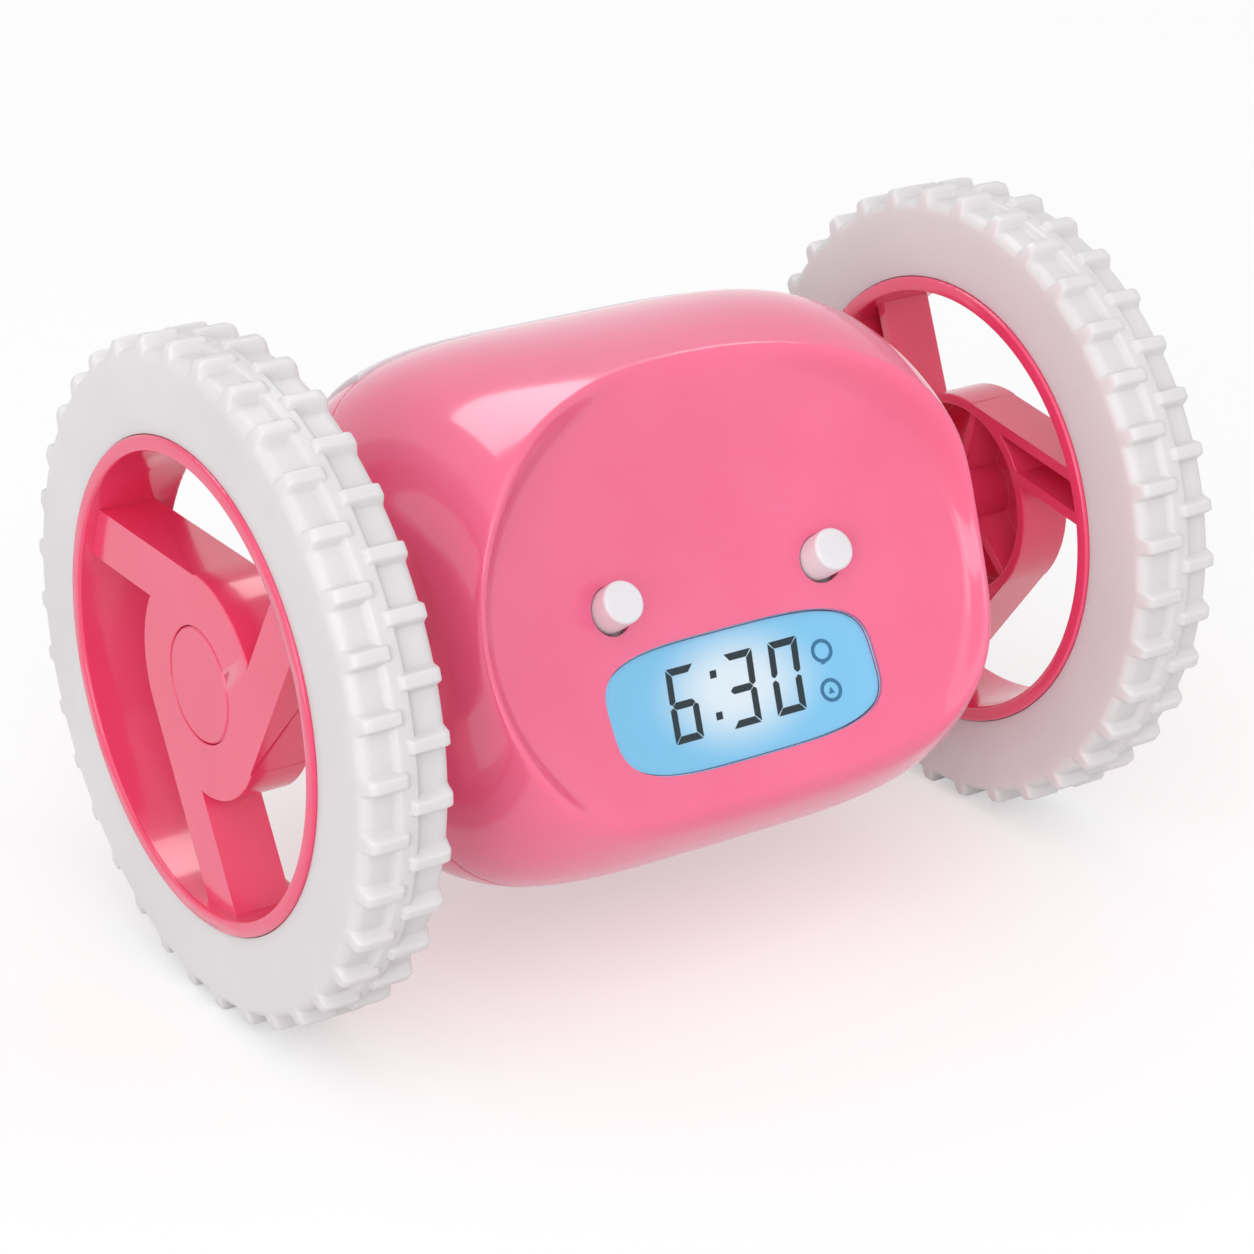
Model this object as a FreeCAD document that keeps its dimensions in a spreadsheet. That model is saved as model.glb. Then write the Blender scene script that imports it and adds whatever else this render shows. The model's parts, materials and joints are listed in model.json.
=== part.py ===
import FreeCAD, Part
import math
import os
from types import SimpleNamespace

import Sketcher

# A runaway alarm clock: a barrel-shaped body that hangs between two driven wheels.
#
# Row frame, in millimetres: the origin is on the floor below the middle of the axle, +X runs
# along the axle, -Y is the front with the window, and +Z is up.
#
# Core frame: everything in the body is laid out about the axle, in a frame that leans back by
# face_tilt. Its X is the row's X, its second axis runs to the rear and is called "rear", and
# its third runs up along the parting plane of the two shells and is called "rise".
#
# Wheel frame: Z runs outwards along the axle from the middle of the clock.

SIZES = {
    # wheels
    "tyre_tip_radius": 44.5,
    "tyre_rib_radius": 43.8,
    "tyre_base_radius": 42.9,
    "tyre_side_inset": 0.5,
    "tyre_shoulder": 1.6,
    "rib_width": 2.8,
    "rib_offset": 0.2,
    "bar_count": 36,
    "bar_width": 2.4,
    "bar_crown": 1.7,
    "bar_inset": 0.5,
    "bar_sink": 0.8,
    "hub_inner_face": 53.2,
    "hub_width": 13.2,
    "ring_lip_radius": 33.0,
    "ring_seat_radius": 31.6,
    "ring_bore_radius": 29.4,
    "ring_lip_width": 1.5,
    "ring_lip_round": 0.6,
    "hub_disc_radius": 15.0,
    "blade_count": 3,
    "blade_width": 6.8,
    "blade_depth": 8.0,
    "plate_recess": 1.8,
    "plate_thickness": 1.8,
    "hub_wall": 1.5,
    "hub_rib": 1.2,
    "hub_boss_radius": 4.4,
    "hub_boss_length": 12.5,
    "hub_back_step": 0.6,
    "channel_end_wall": 0.8,
    "shaft_end_depth": 2.4,
    "shaft_socket_reach": 8.0,
    "wheel_screw_bite": 4.0,
    "cap_radius": 7.6,
    "cap_thickness": 1.2,
    "cap_gap": 0.1,
    "cap_seat_gap": 0.02,
    "cap_chamfer": 0.25,
    "right_wheel_turn": 10.0,
    "left_tyre_turn": 3.5,
    "right_tyre_turn": 6.5,
    # body shells
    "face_tilt": 29.0,
    "body_half_length": 40.6,
    "body_depth_radius": 40.2,
    "body_height_radius": 36.3,
    "end_squareness": 4.6,
    "section_tilt": 23.0,
    "body_shift_rear": -0.6,
    "body_shift_rise": -0.5,
    "shell_wall": 2.0,
    "dish_floor": 19.8,
    "dish_drop": 17.0,
    "dish_width_radius": 97.0,
    "dish_depth_radius": 60.0,
    "dish_height_radius": 80.0,
    "brow_half_width": 36.3,
    "brow_half_height": 30.8,
    "brow_drop": 9.0,
    "brow_draft": 15.0,
    "brow_start": 2.0,
    # window and display
    "window_half_width": 20.9,
    "window_half_height": 8.5,
    "window_bow": 1.7,
    "window_corner": 4.2,
    "window_drop": 19.05,
    "window_gap": 0.15,
    "window_sink": 0.1,
    "window_flange": 1.2,
    "flange_thickness": 0.9,
    "flange_gap": 0.25,
    "pane_overlap": 0.2,
    "panel_gap": 0.1,
    "backlight_gap": 0.05,
    "backlight_margin": 2.2,
    "holder_play": 0.05,
    "panel_width": 43.0,
    "panel_height": 17.6,
    "panel_thickness": 1.8,
    "backlight_thickness": 2.2,
    "holder_wall": 1.4,
    "strip_thickness": 1.6,
    "strip_inset": 1.1,
    "strip_end_gap": 2.0,
    # eye buttons
    "eye_spacing": 33.2,
    "eye_radius": 2.9,
    "eye_forward": 21.4,
    "eye_drop": 4.6,
    "eye_tilt": 6.0,
    "eye_proud": 3.8,
    "eye_chamfer": 0.35,
    "eye_hole_radius": 3.4,
    "eye_hole_reach": 8.0,
    "eye_stem_gap": 0.3,
    "button_flange": 1.2,
    "button_relief": 0.9,
    "button_flange_thickness": 1.0,
    "button_seat_gap": 0.25,
    "button_stem_radius": 1.4,
    "button_travel": 0.8,
    "button_stop_gap": 0.15,
    # boards and switches
    "board_forward": 11.5,
    "board_thickness": 1.2,
    "board_half_width": 24.6,
    "board_top": 5.5,
    "board_bottom": -29.0,
    "board_screw_rise": 3.0,
    "board_screw_inset": 3.0,
    "board_screw_bite": 5.0,
    "board_post_radius": 2.3,
    "switch_width": 6.0,
    "switch_body": 2.4,
    "switch_stem": 0.7,
    "switch_stem_radius": 1.5,
    # set buttons on the rear
    "set_pitch": 8.2,
    "set_first": -21.6,
    "set_rise": 12.0,
    "set_relief": 1.7,
    "set_radius": 2.6,
    "set_proud": 1.2,
    "set_hole_gap": 0.3,
    "set_board_rear": 24.4,
    "set_board_height": 9.0,
    "set_board_margin": 3.5,
    "set_hole_start": 3.0,
    # snooze bar
    "snooze_half_width": 31.0,
    "snooze_depth": 15.7,
    "snooze_gap": 0.3,
    "snooze_proud": 0.5,
    "snooze_skin": 1.8,
    "snooze_travel": 0.8,
    "snooze_plunger_radius": 3.0,
    "snooze_leg_inset": 6.0,
    "snooze_leg_thickness": 1.6,
    "snooze_leg_width": 6.0,
    "shelf_rise": 26.6,
    "shelf_thickness": 1.2,
    "snooze_board_width": 16.0,
    "snooze_board_depth": 11.0,
    # battery bay and door
    "cell_radius": 5.25,
    "cell_length": 43.5,
    "cell_nub_radius": 1.9,
    "cell_nub_length": 1.0,
    "cell_count": 4,
    "cell_edge": 0.4,
    "cell_first_angle": -75.0,
    "cell_pitch_angle": 22.4,
    "bay_centre_rear": 0.8,
    "bay_centre_rise": 2.7,
    "bay_cell_radius": 29.3,
    "bay_gap": 0.4,
    "bay_wall": 1.3,
    "bay_side_angle": 13.2,
    "spring_length": 3.4,
    "spring_wire": 0.5,
    "spring_turns": 3,
    "spring_wire_sides": 8,
    "plate_metal": 0.4,
    "plate_play": 0.05,
    "plate_share": 0.75,
    "spring_share": 0.55,
    "door_gap": 0.3,
    "door_side_angle": 12.3,
    "door_side_play": 0.55,
    "door_inset": 0.9,
    "door_core_margin": 6.0,
    "door_grip_radius": 0.8,
    "door_grip_length": 20.0,
    "door_grip_count": 3,
    "door_grip_pitch": 4.0,
    "door_grip_height": 2.9,
    # drive
    "gear_module": 0.6,
    "output_teeth": 40,
    "idler_teeth": 36,
    "idler_pinion_teeth": 12,
    "motor_pinion_teeth": 10,
    "gear_backlash": 0.16,
    "gear_slack": 0.05,
    "gear_root_share": 1.2,
    "gear_tip_share": 0.9,
    "gear_pressure_angle": 20.0,
    "gear_tooth_sink": 0.25,
    "gear_collar_wall": 1.3,
    "idler_angle": 39.4,
    "motor_angle": 150.0,
    "shaft_radius": 2.5,
    "shaft_clearance": 0.05,
    "shaft_inner_end": 26.8,
    "shaft_chamfer": 0.3,
    "pin_radius": 1.0,
    "pin_end_gap": 0.2,
    "cover_face": 26.0,
    "cover_thickness": 1.4,
    "gear_face_gap": 0.5,
    "idler_width": 2.2,
    "output_width": 2.4,
    "housing_floor": 1.4,
    "housing_wall": 1.4,
    "housing_gap": 0.5,
    "ear_radius": 3.2,
    "ear_reach": 1.3,
    "short_ear": 3.0,
    "motor_radius": 8.0,
    "motor_length": 19.5,
    "motor_flat": 12.2,
    "motor_nose_radius": 3.0,
    "motor_shaft_radius": 1.0,
    "motor_tail": 1.0,
    "motor_back_wall": 3.0,
    "motor_shaft_play": 0.2,
    "bush_radius": 4.6,
    "bush_flange_radius": 6.6,
    "bush_flange": 1.0,
    "bush_gap": 1.4,
    # fasteners and speaker
    "screw_radius": 1.2,
    "screw_head_radius": 2.0,
    "screw_head_height": 1.4,
    "screw_clearance": 0.2,
    "screw_end_gap": 0.2,
    "pilot_extra": 1.0,
    "case_boss_radius": 2.8,
    "case_screw_high": 24.95,
    "case_screw_high_half": 20.0,
    "case_screw_low": -23.0,
    "case_screw_low_half": 31.0,
    "case_screw_bite": 10.0,
    "gear_screw_bite": 2.6,
    "case_seat_high": 14.0,
    "case_seat_low": 11.0,
    "speaker_radius": 7.8,
    "speaker_depth": 4.0,
    "speaker_x": 16.4,
    "speaker_rise": 14.8,
    "speaker_front": 23.2,
    "speaker_magnet": 2.0,
    "speaker_rim": 1.2,
    "speaker_recess": 0.8,
    "grille_hole_radius": 0.8,
    "grille_pitch": 3.2,
}


class Formula:
    """A number together with the spreadsheet expression that gives it."""

    def __init__(self, text, value):
        self.text = text
        self.value = value

    @staticmethod
    def of(item):
        if isinstance(item, Formula):
            return item
        return Formula("%.9g" % item, item)

    def join(self, sign, other, value):
        return Formula("(%s %s %s)" % (self.text, sign, other.text), value)

    def __add__(self, other):
        other = Formula.of(other)
        return self.join("+", other, self.value + other.value)

    def __radd__(self, other):
        return Formula.of(other) + self

    def __sub__(self, other):
        other = Formula.of(other)
        return self.join("-", other, self.value - other.value)

    def __rsub__(self, other):
        return Formula.of(other) - self

    def __mul__(self, other):
        other = Formula.of(other)
        return self.join("*", other, self.value * other.value)

    def __rmul__(self, other):
        return Formula.of(other) * self

    def __truediv__(self, other):
        other = Formula.of(other)
        return self.join("/", other, self.value / other.value)

    def __rtruediv__(self, other):
        return Formula.of(other) / self

    def __pow__(self, other):
        other = Formula.of(other)
        return self.join("^", other, self.value ** other.value)

    def __neg__(self):
        return Formula("(0 - %s)" % self.text, -self.value)

    def __float__(self):
        return float(self.value)


def sine(angle):
    angle = Formula.of(angle)
    return Formula("sin(%s)" % angle.text, math.sin(math.radians(angle.value)))


def cosine(angle):
    angle = Formula.of(angle)
    return Formula("cos(%s)" % angle.text, math.cos(math.radians(angle.value)))


doc = FreeCAD.newDocument("runaway_alarm_clock")
sheet = doc.addObject("Spreadsheet::Sheet", "sizes")
for row, (alias, number) in enumerate(SIZES.items(), start=1):
    sheet.set("A%d" % row, alias)
    sheet.set("B%d" % row, "%s" % number)
    sheet.setAlias("B%d" % row, alias)
doc.recompute()
S = SimpleNamespace(**{alias: Formula("sizes.%s" % alias, float(sheet.get(alias))) for alias in SIZES})

NODES = []
V = FreeCAD.Vector
X_AXIS = V(1, 0, 0)
Y_AXIS = V(0, 1, 0)
Z_AXIS = V(0, 0, 1)
SPACE = 200.0
CORE_TO_SIDE = FreeCAD.Rotation(V(1, 1, 1), 120)
ALONG = {
    "x": FreeCAD.Rotation(Y_AXIS, 90),
    "rear": FreeCAD.Rotation(X_AXIS, -90),
    "front": FreeCAD.Rotation(X_AXIS, 90),
    "rise": FreeCAD.Rotation(),
    "fall": FreeCAD.Rotation(X_AXIS, 180),
}


# Document helpers

def bind(item, prop, formula):
    item.setExpression(prop, Formula.of(formula).text)


def place(item, x=0, y=0, z=0, rotation=None):
    """Put an object at a bound place, with a fixed rotation."""
    item.Placement = FreeCAD.Placement(V(0, 0, 0), rotation or FreeCAD.Rotation())
    for prop, formula in (("x", x), ("y", y), ("z", z)):
        bind(item, "Placement.Base.%s" % prop, formula)
    return item


def place_in_core(item, x=0, rear=0, rise=0, turn=0):
    """Put an object of the core frame into the row frame, turned about X by turn."""
    item.Placement = FreeCAD.Placement(V(0, 0, 0), FreeCAD.Rotation(X_AXIS, 1))
    bind(item, "Placement.Rotation.Angle", turn - S.face_tilt)
    bind(item, "Placement.Base.x", x)
    bind(item, "Placement.Base.y", rear * cosine(S.face_tilt) + rise * sine(S.face_tilt))
    bind(item, "Placement.Base.z", S.tyre_tip_radius - rear * sine(S.face_tilt) + rise * cosine(S.face_tilt))
    return item


def node(item, label):
    item.Label = label
    NODES.append(item)
    return item


def cylinder(name, radius, length, x=0, rear=0, rise=0, along="x"):
    item = doc.addObject("Part::Cylinder", name)
    bind(item, "Radius", radius)
    bind(item, "Height", length)
    return place(item, x, rear, rise, ALONG[along])


def box(name, size, corner):
    item = doc.addObject("Part::Box", name)
    for prop, formula in zip(("Length", "Width", "Height"), size):
        bind(item, prop, formula)
    return place(item, *corner)


def group(name, items):
    item = doc.addObject("Part::Compound", name)
    item.Links = items
    return item


def boolean(kind, name):
    """A boolean that keeps its faces as cut, which suits the body's curved skins best."""
    item = doc.addObject("Part::" + kind, name)
    item.Refine = False
    return item


def fuse(name, items):
    item = boolean("MultiFuse", name)
    item.Shapes = items
    return item


def cut(name, base, tools):
    item = boolean("Cut", name)
    item.Base = base
    item.Tool = tools[0] if len(tools) == 1 else group(name + "_tools", tools)
    return item


def common(name, base, tool):
    item = boolean("Common", name)
    item.Base = base
    item.Tool = tool
    return item


def mirrored(source, label):
    item = doc.addObject("Part::Mirroring", label)
    item.Source = source
    item.Normal = X_AXIS
    return node(item, label)


def polar(distance, angle):
    return distance * cosine(angle), distance * sine(angle)


# PartDesign helpers

def new_body(name):
    return doc.addObject("PartDesign::Body", name)


def origin_feature(body, role):
    return [item for item in body.Origin.OriginFeatures if item.Role == role][0]


def new_sketch(body, name, role="XY_Plane", height=0):
    sketch = body.newObject("Sketcher::SketchObject", name)
    sketch.AttachmentSupport = [(origin_feature(body, role), "")]
    sketch.MapMode = "FlatFace"
    bind(sketch, "AttachmentOffset.Base.z", height)
    return sketch


def fix_point(sketch, geometry, position, x, y):
    """Hold a sketch point at bound distances from the sketch's origin."""
    for kind, formula, axis in (("DistanceX", x, -2), ("DistanceY", y, -1)):
        formula = Formula.of(formula)
        if formula.text == "0":
            sketch.addConstraint(Sketcher.Constraint("PointOnObject", geometry, position, axis))
        else:
            index = sketch.addConstraint(
                Sketcher.Constraint(kind, -1, 1, geometry, position, float(formula)))
            bind(sketch, "Constraints[%d]" % index, formula)


def add_polygon(sketch, points):
    corners = [V(float(x), float(y), 0) for x, y in points]
    first = sketch.GeometryCount
    count = len(points)
    for index in range(count):
        edge = Part.LineSegment(corners[index], corners[(index + 1) % count])
        sketch.addGeometry(edge, False)
    for index in range(count):
        following = first + (index + 1) % count
        sketch.addConstraint(Sketcher.Constraint("Coincident", first + index, 2, following, 1))
    for index, (x, y) in enumerate(points):
        fix_point(sketch, first + index, 1, x, y)


def add_circle(sketch, radius, x=0, y=0):
    centre = V(float(x), float(y), 0)
    index = sketch.addGeometry(Part.Circle(centre, Z_AXIS, float(radius)), False)
    ring = sketch.addConstraint(Sketcher.Constraint("Radius", index, float(radius)))
    bind(sketch, "Constraints[%d]" % ring, radius)
    fix_point(sketch, index, 3, x, y)


def add_bowed_rectangle(sketch, half_width, half_height, bow):
    """Four arcs that bow out of a rectangle by bow; the outline's extremes are the half sizes."""
    wide, high, rise = float(half_width), float(half_height), float(bow)
    corner_x, corner_y = wide - rise, high - rise
    corners = [V(-corner_x, -corner_y, 0), V(corner_x, -corner_y, 0), V(corner_x, corner_y, 0),
               V(-corner_x, corner_y, 0)]
    middles = [V(0, -high, 0), V(wide, 0, 0), V(0, high, 0), V(-wide, 0, 0)]
    signs = [(-1, -1), (1, -1), (1, 1), (-1, 1)]
    for index in range(4):
        arc = Part.Arc(corners[index], middles[index], corners[(index + 1) % 4])
        sketch.addGeometry(arc, False)
    for index in range(4):
        sketch.addConstraint(Sketcher.Constraint("Coincident", index, 2, (index + 1) % 4, 1))
    for index, (x_sign, y_sign) in enumerate(signs):
        fix_point(sketch, index, 1, x_sign * (half_width - bow), y_sign * (half_height - bow))
    for index in range(4):
        half_chord = (half_width, half_height)[index % 2] - bow
        radius = (half_chord * half_chord + bow * bow) / (2 * bow)
        ring = sketch.addConstraint(Sketcher.Constraint("Radius", index, float(radius)))
        bind(sketch, "Constraints[%d]" % ring, radius)


def pad(body, name, sketch, length, reverse=False):
    item = body.newObject("PartDesign::Pad", name)
    item.Profile = sketch
    item.Reversed = reverse
    bind(item, "Length", length)
    return item


def pocket(body, name, sketch, length, reverse=False):
    item = body.newObject("PartDesign::Pocket", name)
    item.Profile = sketch
    item.Reversed = reverse
    bind(item, "Length", length)
    return item


def revolve(body, name, sketch):
    """Turn a sketch of the XZ plane about Z."""
    item = body.newObject("PartDesign::Revolution", name)
    item.Profile = sketch
    item.ReferenceAxis = (sketch, ["V_Axis"])
    item.Angle = 360
    return item


def repeat(body, name, feature, count):
    item = body.newObject("PartDesign::PolarPattern", name)
    item.Originals = [feature]
    item.Axis = (origin_feature(body, "Z_Axis"), [""])
    item.Angle = 360
    bind(item, "Occurrences", count)
    body.Tip = item
    return item


def turned(name, points):
    """A body turned about its Z axis from a list of (radius, height) points."""
    body = new_body(name)
    sketch = new_sketch(body, name + "_profile", "XZ_Plane")
    add_polygon(sketch, points)
    revolve(body, name + "_turn", sketch)
    return body


def round_edges(name, base, radius, wanted):
    """A Part::Fillet on the edges of base that the test wanted() picks."""
    doc.recompute()
    item = doc.addObject("Part::Fillet", name)
    item.Base = base
    picked = [index for index, edge in enumerate(base.Shape.Edges, start=1) if wanted(edge)]
    item.Edges = [(index, float(radius), float(radius)) for index in picked]
    return item


# Wheels

WHEEL_PLACES = {
    "left": FreeCAD.Rotation(Z_AXIS, 180).multiply(CORE_TO_SIDE),
    "right": CORE_TO_SIDE,
}


def place_wheel_part(item, side, turn=0):
    """Wheel frame to row frame: the wheel's Z runs outwards, and turn is about that Z."""
    rotation = WHEEL_PLACES[side].multiply(FreeCAD.Rotation(Z_AXIS, float(turn)))
    return place(item, 0, 0, S.tyre_tip_radius, rotation)


HUB_OUTER = S.hub_inner_face + S.hub_width
PLATE_FACE = HUB_OUTER - S.plate_recess
HUB_BACK = PLATE_FACE - S.blade_depth
SHAFT_END = PLATE_FACE - S.cap_thickness - S.shaft_end_depth
TYRE_INNER = S.hub_inner_face + S.tyre_side_inset
TYRE_OUTER = HUB_OUTER - S.tyre_side_inset
TREAD_MIDDLE = (TYRE_INNER + TYRE_OUTER) / 2 + S.rib_offset


def tyre(side, turn):
    """A soft tyre: a turned section, a centre rib and two staggered rows of bars."""
    name = side + "_tyre"
    body = new_body(name)
    section = new_sketch(body, name + "_section", "XZ_Plane")
    seat_inner = S.hub_inner_face + S.ring_lip_width
    seat_outer = HUB_OUTER - S.ring_lip_width
    add_polygon(section, [
        (S.ring_seat_radius, seat_inner),
        (S.ring_lip_radius, seat_inner),
        (S.ring_lip_radius, TYRE_INNER),
        (S.tyre_base_radius - S.tyre_shoulder, TYRE_INNER),
        (S.tyre_base_radius, TYRE_INNER + S.tyre_shoulder),
        (S.tyre_base_radius, TREAD_MIDDLE - S.rib_width / 2),
        (S.tyre_rib_radius, TREAD_MIDDLE - S.rib_width / 2),
        (S.tyre_rib_radius, TREAD_MIDDLE + S.rib_width / 2),
        (S.tyre_base_radius, TREAD_MIDDLE + S.rib_width / 2),
        (S.tyre_base_radius, TYRE_OUTER - S.tyre_shoulder),
        (S.tyre_base_radius - S.tyre_shoulder, TYRE_OUTER),
        (S.ring_lip_radius, TYRE_OUTER),
        (S.ring_lip_radius, seat_outer),
        (S.ring_seat_radius, seat_outer),
    ])
    revolve(body, name + "_casing", section)
    rows = (
        ("outer", TREAD_MIDDLE, TYRE_OUTER - S.bar_inset - TREAD_MIDDLE, 0),
        ("inner", TYRE_INNER + S.bar_inset, TREAD_MIDDLE - TYRE_INNER - S.bar_inset, 0.5),
    )
    for row, start, length, stagger in rows:
        sketch = new_sketch(body, "%s_%s_bar" % (name, row), "XY_Plane", start)
        add_bar(sketch, stagger * 360 / S.bar_count)
        bar = pad(body, "%s_%s_bar_pad" % (name, row), sketch, length)
        repeat(body, "%s_%s_row" % (name, row), bar, S.bar_count)
    place_wheel_part(body, side, turn)
    return node(body, name)


def add_bar(sketch, angle):
    """One tread bar's section: a tapered block with a narrower crown, at an angle about Z."""
    root = S.tyre_base_radius - S.bar_sink
    shoulder = (S.tyre_base_radius + S.tyre_tip_radius) / 2
    corners = (
        (root, -S.bar_width / 2),
        (shoulder, -S.bar_width / 2),
        (S.tyre_tip_radius, -S.bar_crown / 2),
        (S.tyre_tip_radius, S.bar_crown / 2),
        (shoulder, S.bar_width / 2),
        (root, S.bar_width / 2),
    )
    add_polygon(sketch, [turned_point(x, y, angle) for x, y in corners])


def turned_point(x, y, angle):
    return (x * cosine(angle) - y * sine(angle), x * sine(angle) + y * cosine(angle))


def disc(name, radius, low, high, x=0, y=0):
    """A cylinder of the wheel frame, from one height to another."""
    return cylinder(name, radius, high - low, x, y, low, "rise")


def blade(name, index, half_gap, low, high, length):
    """A block of the hub's pinwheel: tangent to the disc on one side, narrower by half_gap."""
    item = doc.addObject("Part::Box", name)
    bind(item, "Length", length)
    bind(item, "Width", S.blade_width - 2 * half_gap)
    bind(item, "Height", high - low)
    angle = 180 + index * 360 / float(S.blade_count)
    reach = S.hub_disc_radius - half_gap
    place(item, reach * math.sin(math.radians(angle)), -1 * reach * math.cos(math.radians(angle)), low,
          FreeCAD.Rotation(Z_AXIS, angle))
    return item


def hub(side, turn):
    """A ring with rounded lips, a three-bladed pinwheel plate, and walls and ribs behind it."""
    name = side + "_hub"
    blades = range(int(float(S.blade_count)))
    ring = fuse(name + "_ring", [
        disc(name + "_ring_wall", S.ring_seat_radius, S.hub_inner_face, HUB_OUTER),
        disc(name + "_ring_lip_in", S.ring_lip_radius, S.hub_inner_face,
             S.hub_inner_face + S.ring_lip_width),
        disc(name + "_ring_lip_out", S.ring_lip_radius, HUB_OUTER - S.ring_lip_width, HUB_OUTER),
    ])
    bored = cut(name + "_bored", ring, [
        disc(name + "_bore", S.ring_bore_radius, S.hub_inner_face - 1, HUB_OUTER + 1)])
    lips = round_edges(name + "_lips", bored, S.ring_lip_round, is_lip_edge)
    wheel = [disc(name + "_disc", S.hub_disc_radius, HUB_BACK, PLATE_FACE)]
    wheel += [blade("%s_blade_%d" % (name, index), index, 0, HUB_BACK, PLATE_FACE, S.ring_seat_radius)
              for index in blades]
    limit = disc(name + "_limit", (S.ring_bore_radius + S.ring_seat_radius) / 2, HUB_BACK, PLATE_FACE)
    pinwheel = common(name + "_pinwheel", fuse(name + "_solid_wheel", wheel), limit)
    plate_back = PLATE_FACE - S.plate_thickness
    hollow = [disc(name + "_disc_hollow", S.hub_disc_radius - S.hub_wall, HUB_BACK - 1, plate_back)]
    pinwheel = cut(name + "_disc_opened", pinwheel, hollow)
    channels = []
    for index in blades:
        channel = blade("%s_channel_%d" % (name, index), index, S.hub_wall, HUB_BACK - 1, plate_back,
                        S.ring_bore_radius - S.channel_end_wall)
        keep = disc("%s_keep_%d" % (name, index), S.hub_disc_radius, HUB_BACK - 2, PLATE_FACE)
        channels.append(cut("%s_channel_cut_%d" % (name, index), channel, [keep]))
    pinwheel = cut(name + "_walls", pinwheel, channels)
    boss = disc(name + "_boss", S.hub_boss_radius, PLATE_FACE - S.hub_boss_length, PLATE_FACE)
    ribs = [radial_rib("%s_rib_%d" % (name, index), 90 + index * 360 / float(S.blade_count))
            for index in blades]
    whole = fuse(name + "_whole", [lips, pinwheel, boss] + ribs)
    bores = fuse(name + "_bores", [
        disc(name + "_shaft_bore", S.shaft_radius, S.hub_inner_face - S.shaft_socket_reach, SHAFT_END),
        disc(name + "_screw_bore", S.screw_radius + S.screw_clearance, SHAFT_END - 1, PLATE_FACE),
        disc(name + "_cap_seat", S.cap_radius + S.cap_gap, PLATE_FACE - S.cap_thickness, PLATE_FACE + 1),
        disc(name + "_screw_seat", S.screw_head_radius + S.screw_clearance,
             PLATE_FACE - S.cap_thickness - S.screw_head_height - S.screw_end_gap, PLATE_FACE),
    ])
    item = cut(name, whole, [bores])
    place_wheel_part(item, side, turn)
    return node(item, name)


def is_lip_edge(edge):
    """The rings' outer and inner corner edges at both ends of the hub."""
    end = edge.BoundBox.ZMin
    at_end = min(abs(end - float(S.hub_inner_face)), abs(end - float(HUB_OUTER))) < 0.01
    return edge.BoundBox.ZLength < 0.01 and edge.BoundBox.XLength > 50 and at_end


def radial_rib(name, angle):
    """A thin wall from the hub's boss to its disc wall, behind the plate."""
    item = doc.addObject("Part::Box", name)
    bind(item, "Length", S.hub_disc_radius - S.hub_wall / 2 - S.hub_boss_radius / 2)
    bind(item, "Width", S.hub_rib)
    bind(item, "Height", S.blade_depth - S.plate_thickness / 2 - S.hub_back_step)
    along = V(math.cos(math.radians(angle)), math.sin(math.radians(angle)), 0)
    aside = V(-along.y, along.x, 0)
    start = S.hub_boss_radius / 2
    half = S.hub_rib / 2
    place(item, start * along.x - half * aside.x, start * along.y - half * aside.y,
          HUB_BACK + S.hub_back_step, FreeCAD.Rotation(Z_AXIS, angle))
    return item


def hub_cap(side, turn):
    """The round plug that hides the wheel screw."""
    name = side + "_hub_cap"
    back = PLATE_FACE - S.cap_thickness + S.cap_seat_gap
    body = turned(name, [
        (0, back),
        (S.cap_radius, back),
        (S.cap_radius, PLATE_FACE - S.cap_chamfer),
        (S.cap_radius - S.cap_chamfer, PLATE_FACE),
        (0, PLATE_FACE),
    ])
    place_wheel_part(body, side, turn)
    return node(body, name)


def wheel_screw(side):
    """A screw that runs through the hub's boss into the shaft's end."""
    name = side + "_wheel_screw"
    head_top = PLATE_FACE - S.cap_thickness - S.screw_end_gap / 2
    head_base = head_top - S.screw_head_height
    body = turned(name, [
        (0, SHAFT_END - S.wheel_screw_bite),
        (S.screw_radius, SHAFT_END - S.wheel_screw_bite),
        (S.screw_radius, head_base),
        (S.screw_head_radius, head_base),
        (S.screw_head_radius, head_top),
        (0, head_top),
    ])
    place_wheel_part(body, side)
    return node(body, name)


# Body shells

STATIONS = (-0.99, -0.96, -0.9, -0.81, -0.68, -0.5, -0.25, 0.0, 0.25, 0.5, 0.68, 0.81, 0.9, 0.96, 0.99)


def barrel(name, grow):
    """The body's outer form, grown by a distance: elliptical sections that shrink as a superellipse."""
    sections = []
    turn = FreeCAD.Rotation(X_AXIS, float(S.section_tilt) + 180).multiply(CORE_TO_SIDE)
    for index, station in enumerate(STATIONS):
        share = (1 - Formula.of(abs(station)) ** S.end_squareness) ** (1 / S.end_squareness)
        ring = doc.addObject("Part::Ellipse", "%s_section_%d" % (name, index))
        bind(ring, "MajorRadius", (S.body_depth_radius + grow) * share)
        bind(ring, "MinorRadius", (S.body_height_radius + grow) * share)
        place(ring, (S.body_half_length + grow) * station, S.body_shift_rear, S.body_shift_rise, turn)
        sections.append(ring)
    loft = doc.addObject("Part::Loft", name)
    loft.Sections = sections
    loft.Solid = True
    return loft


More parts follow.
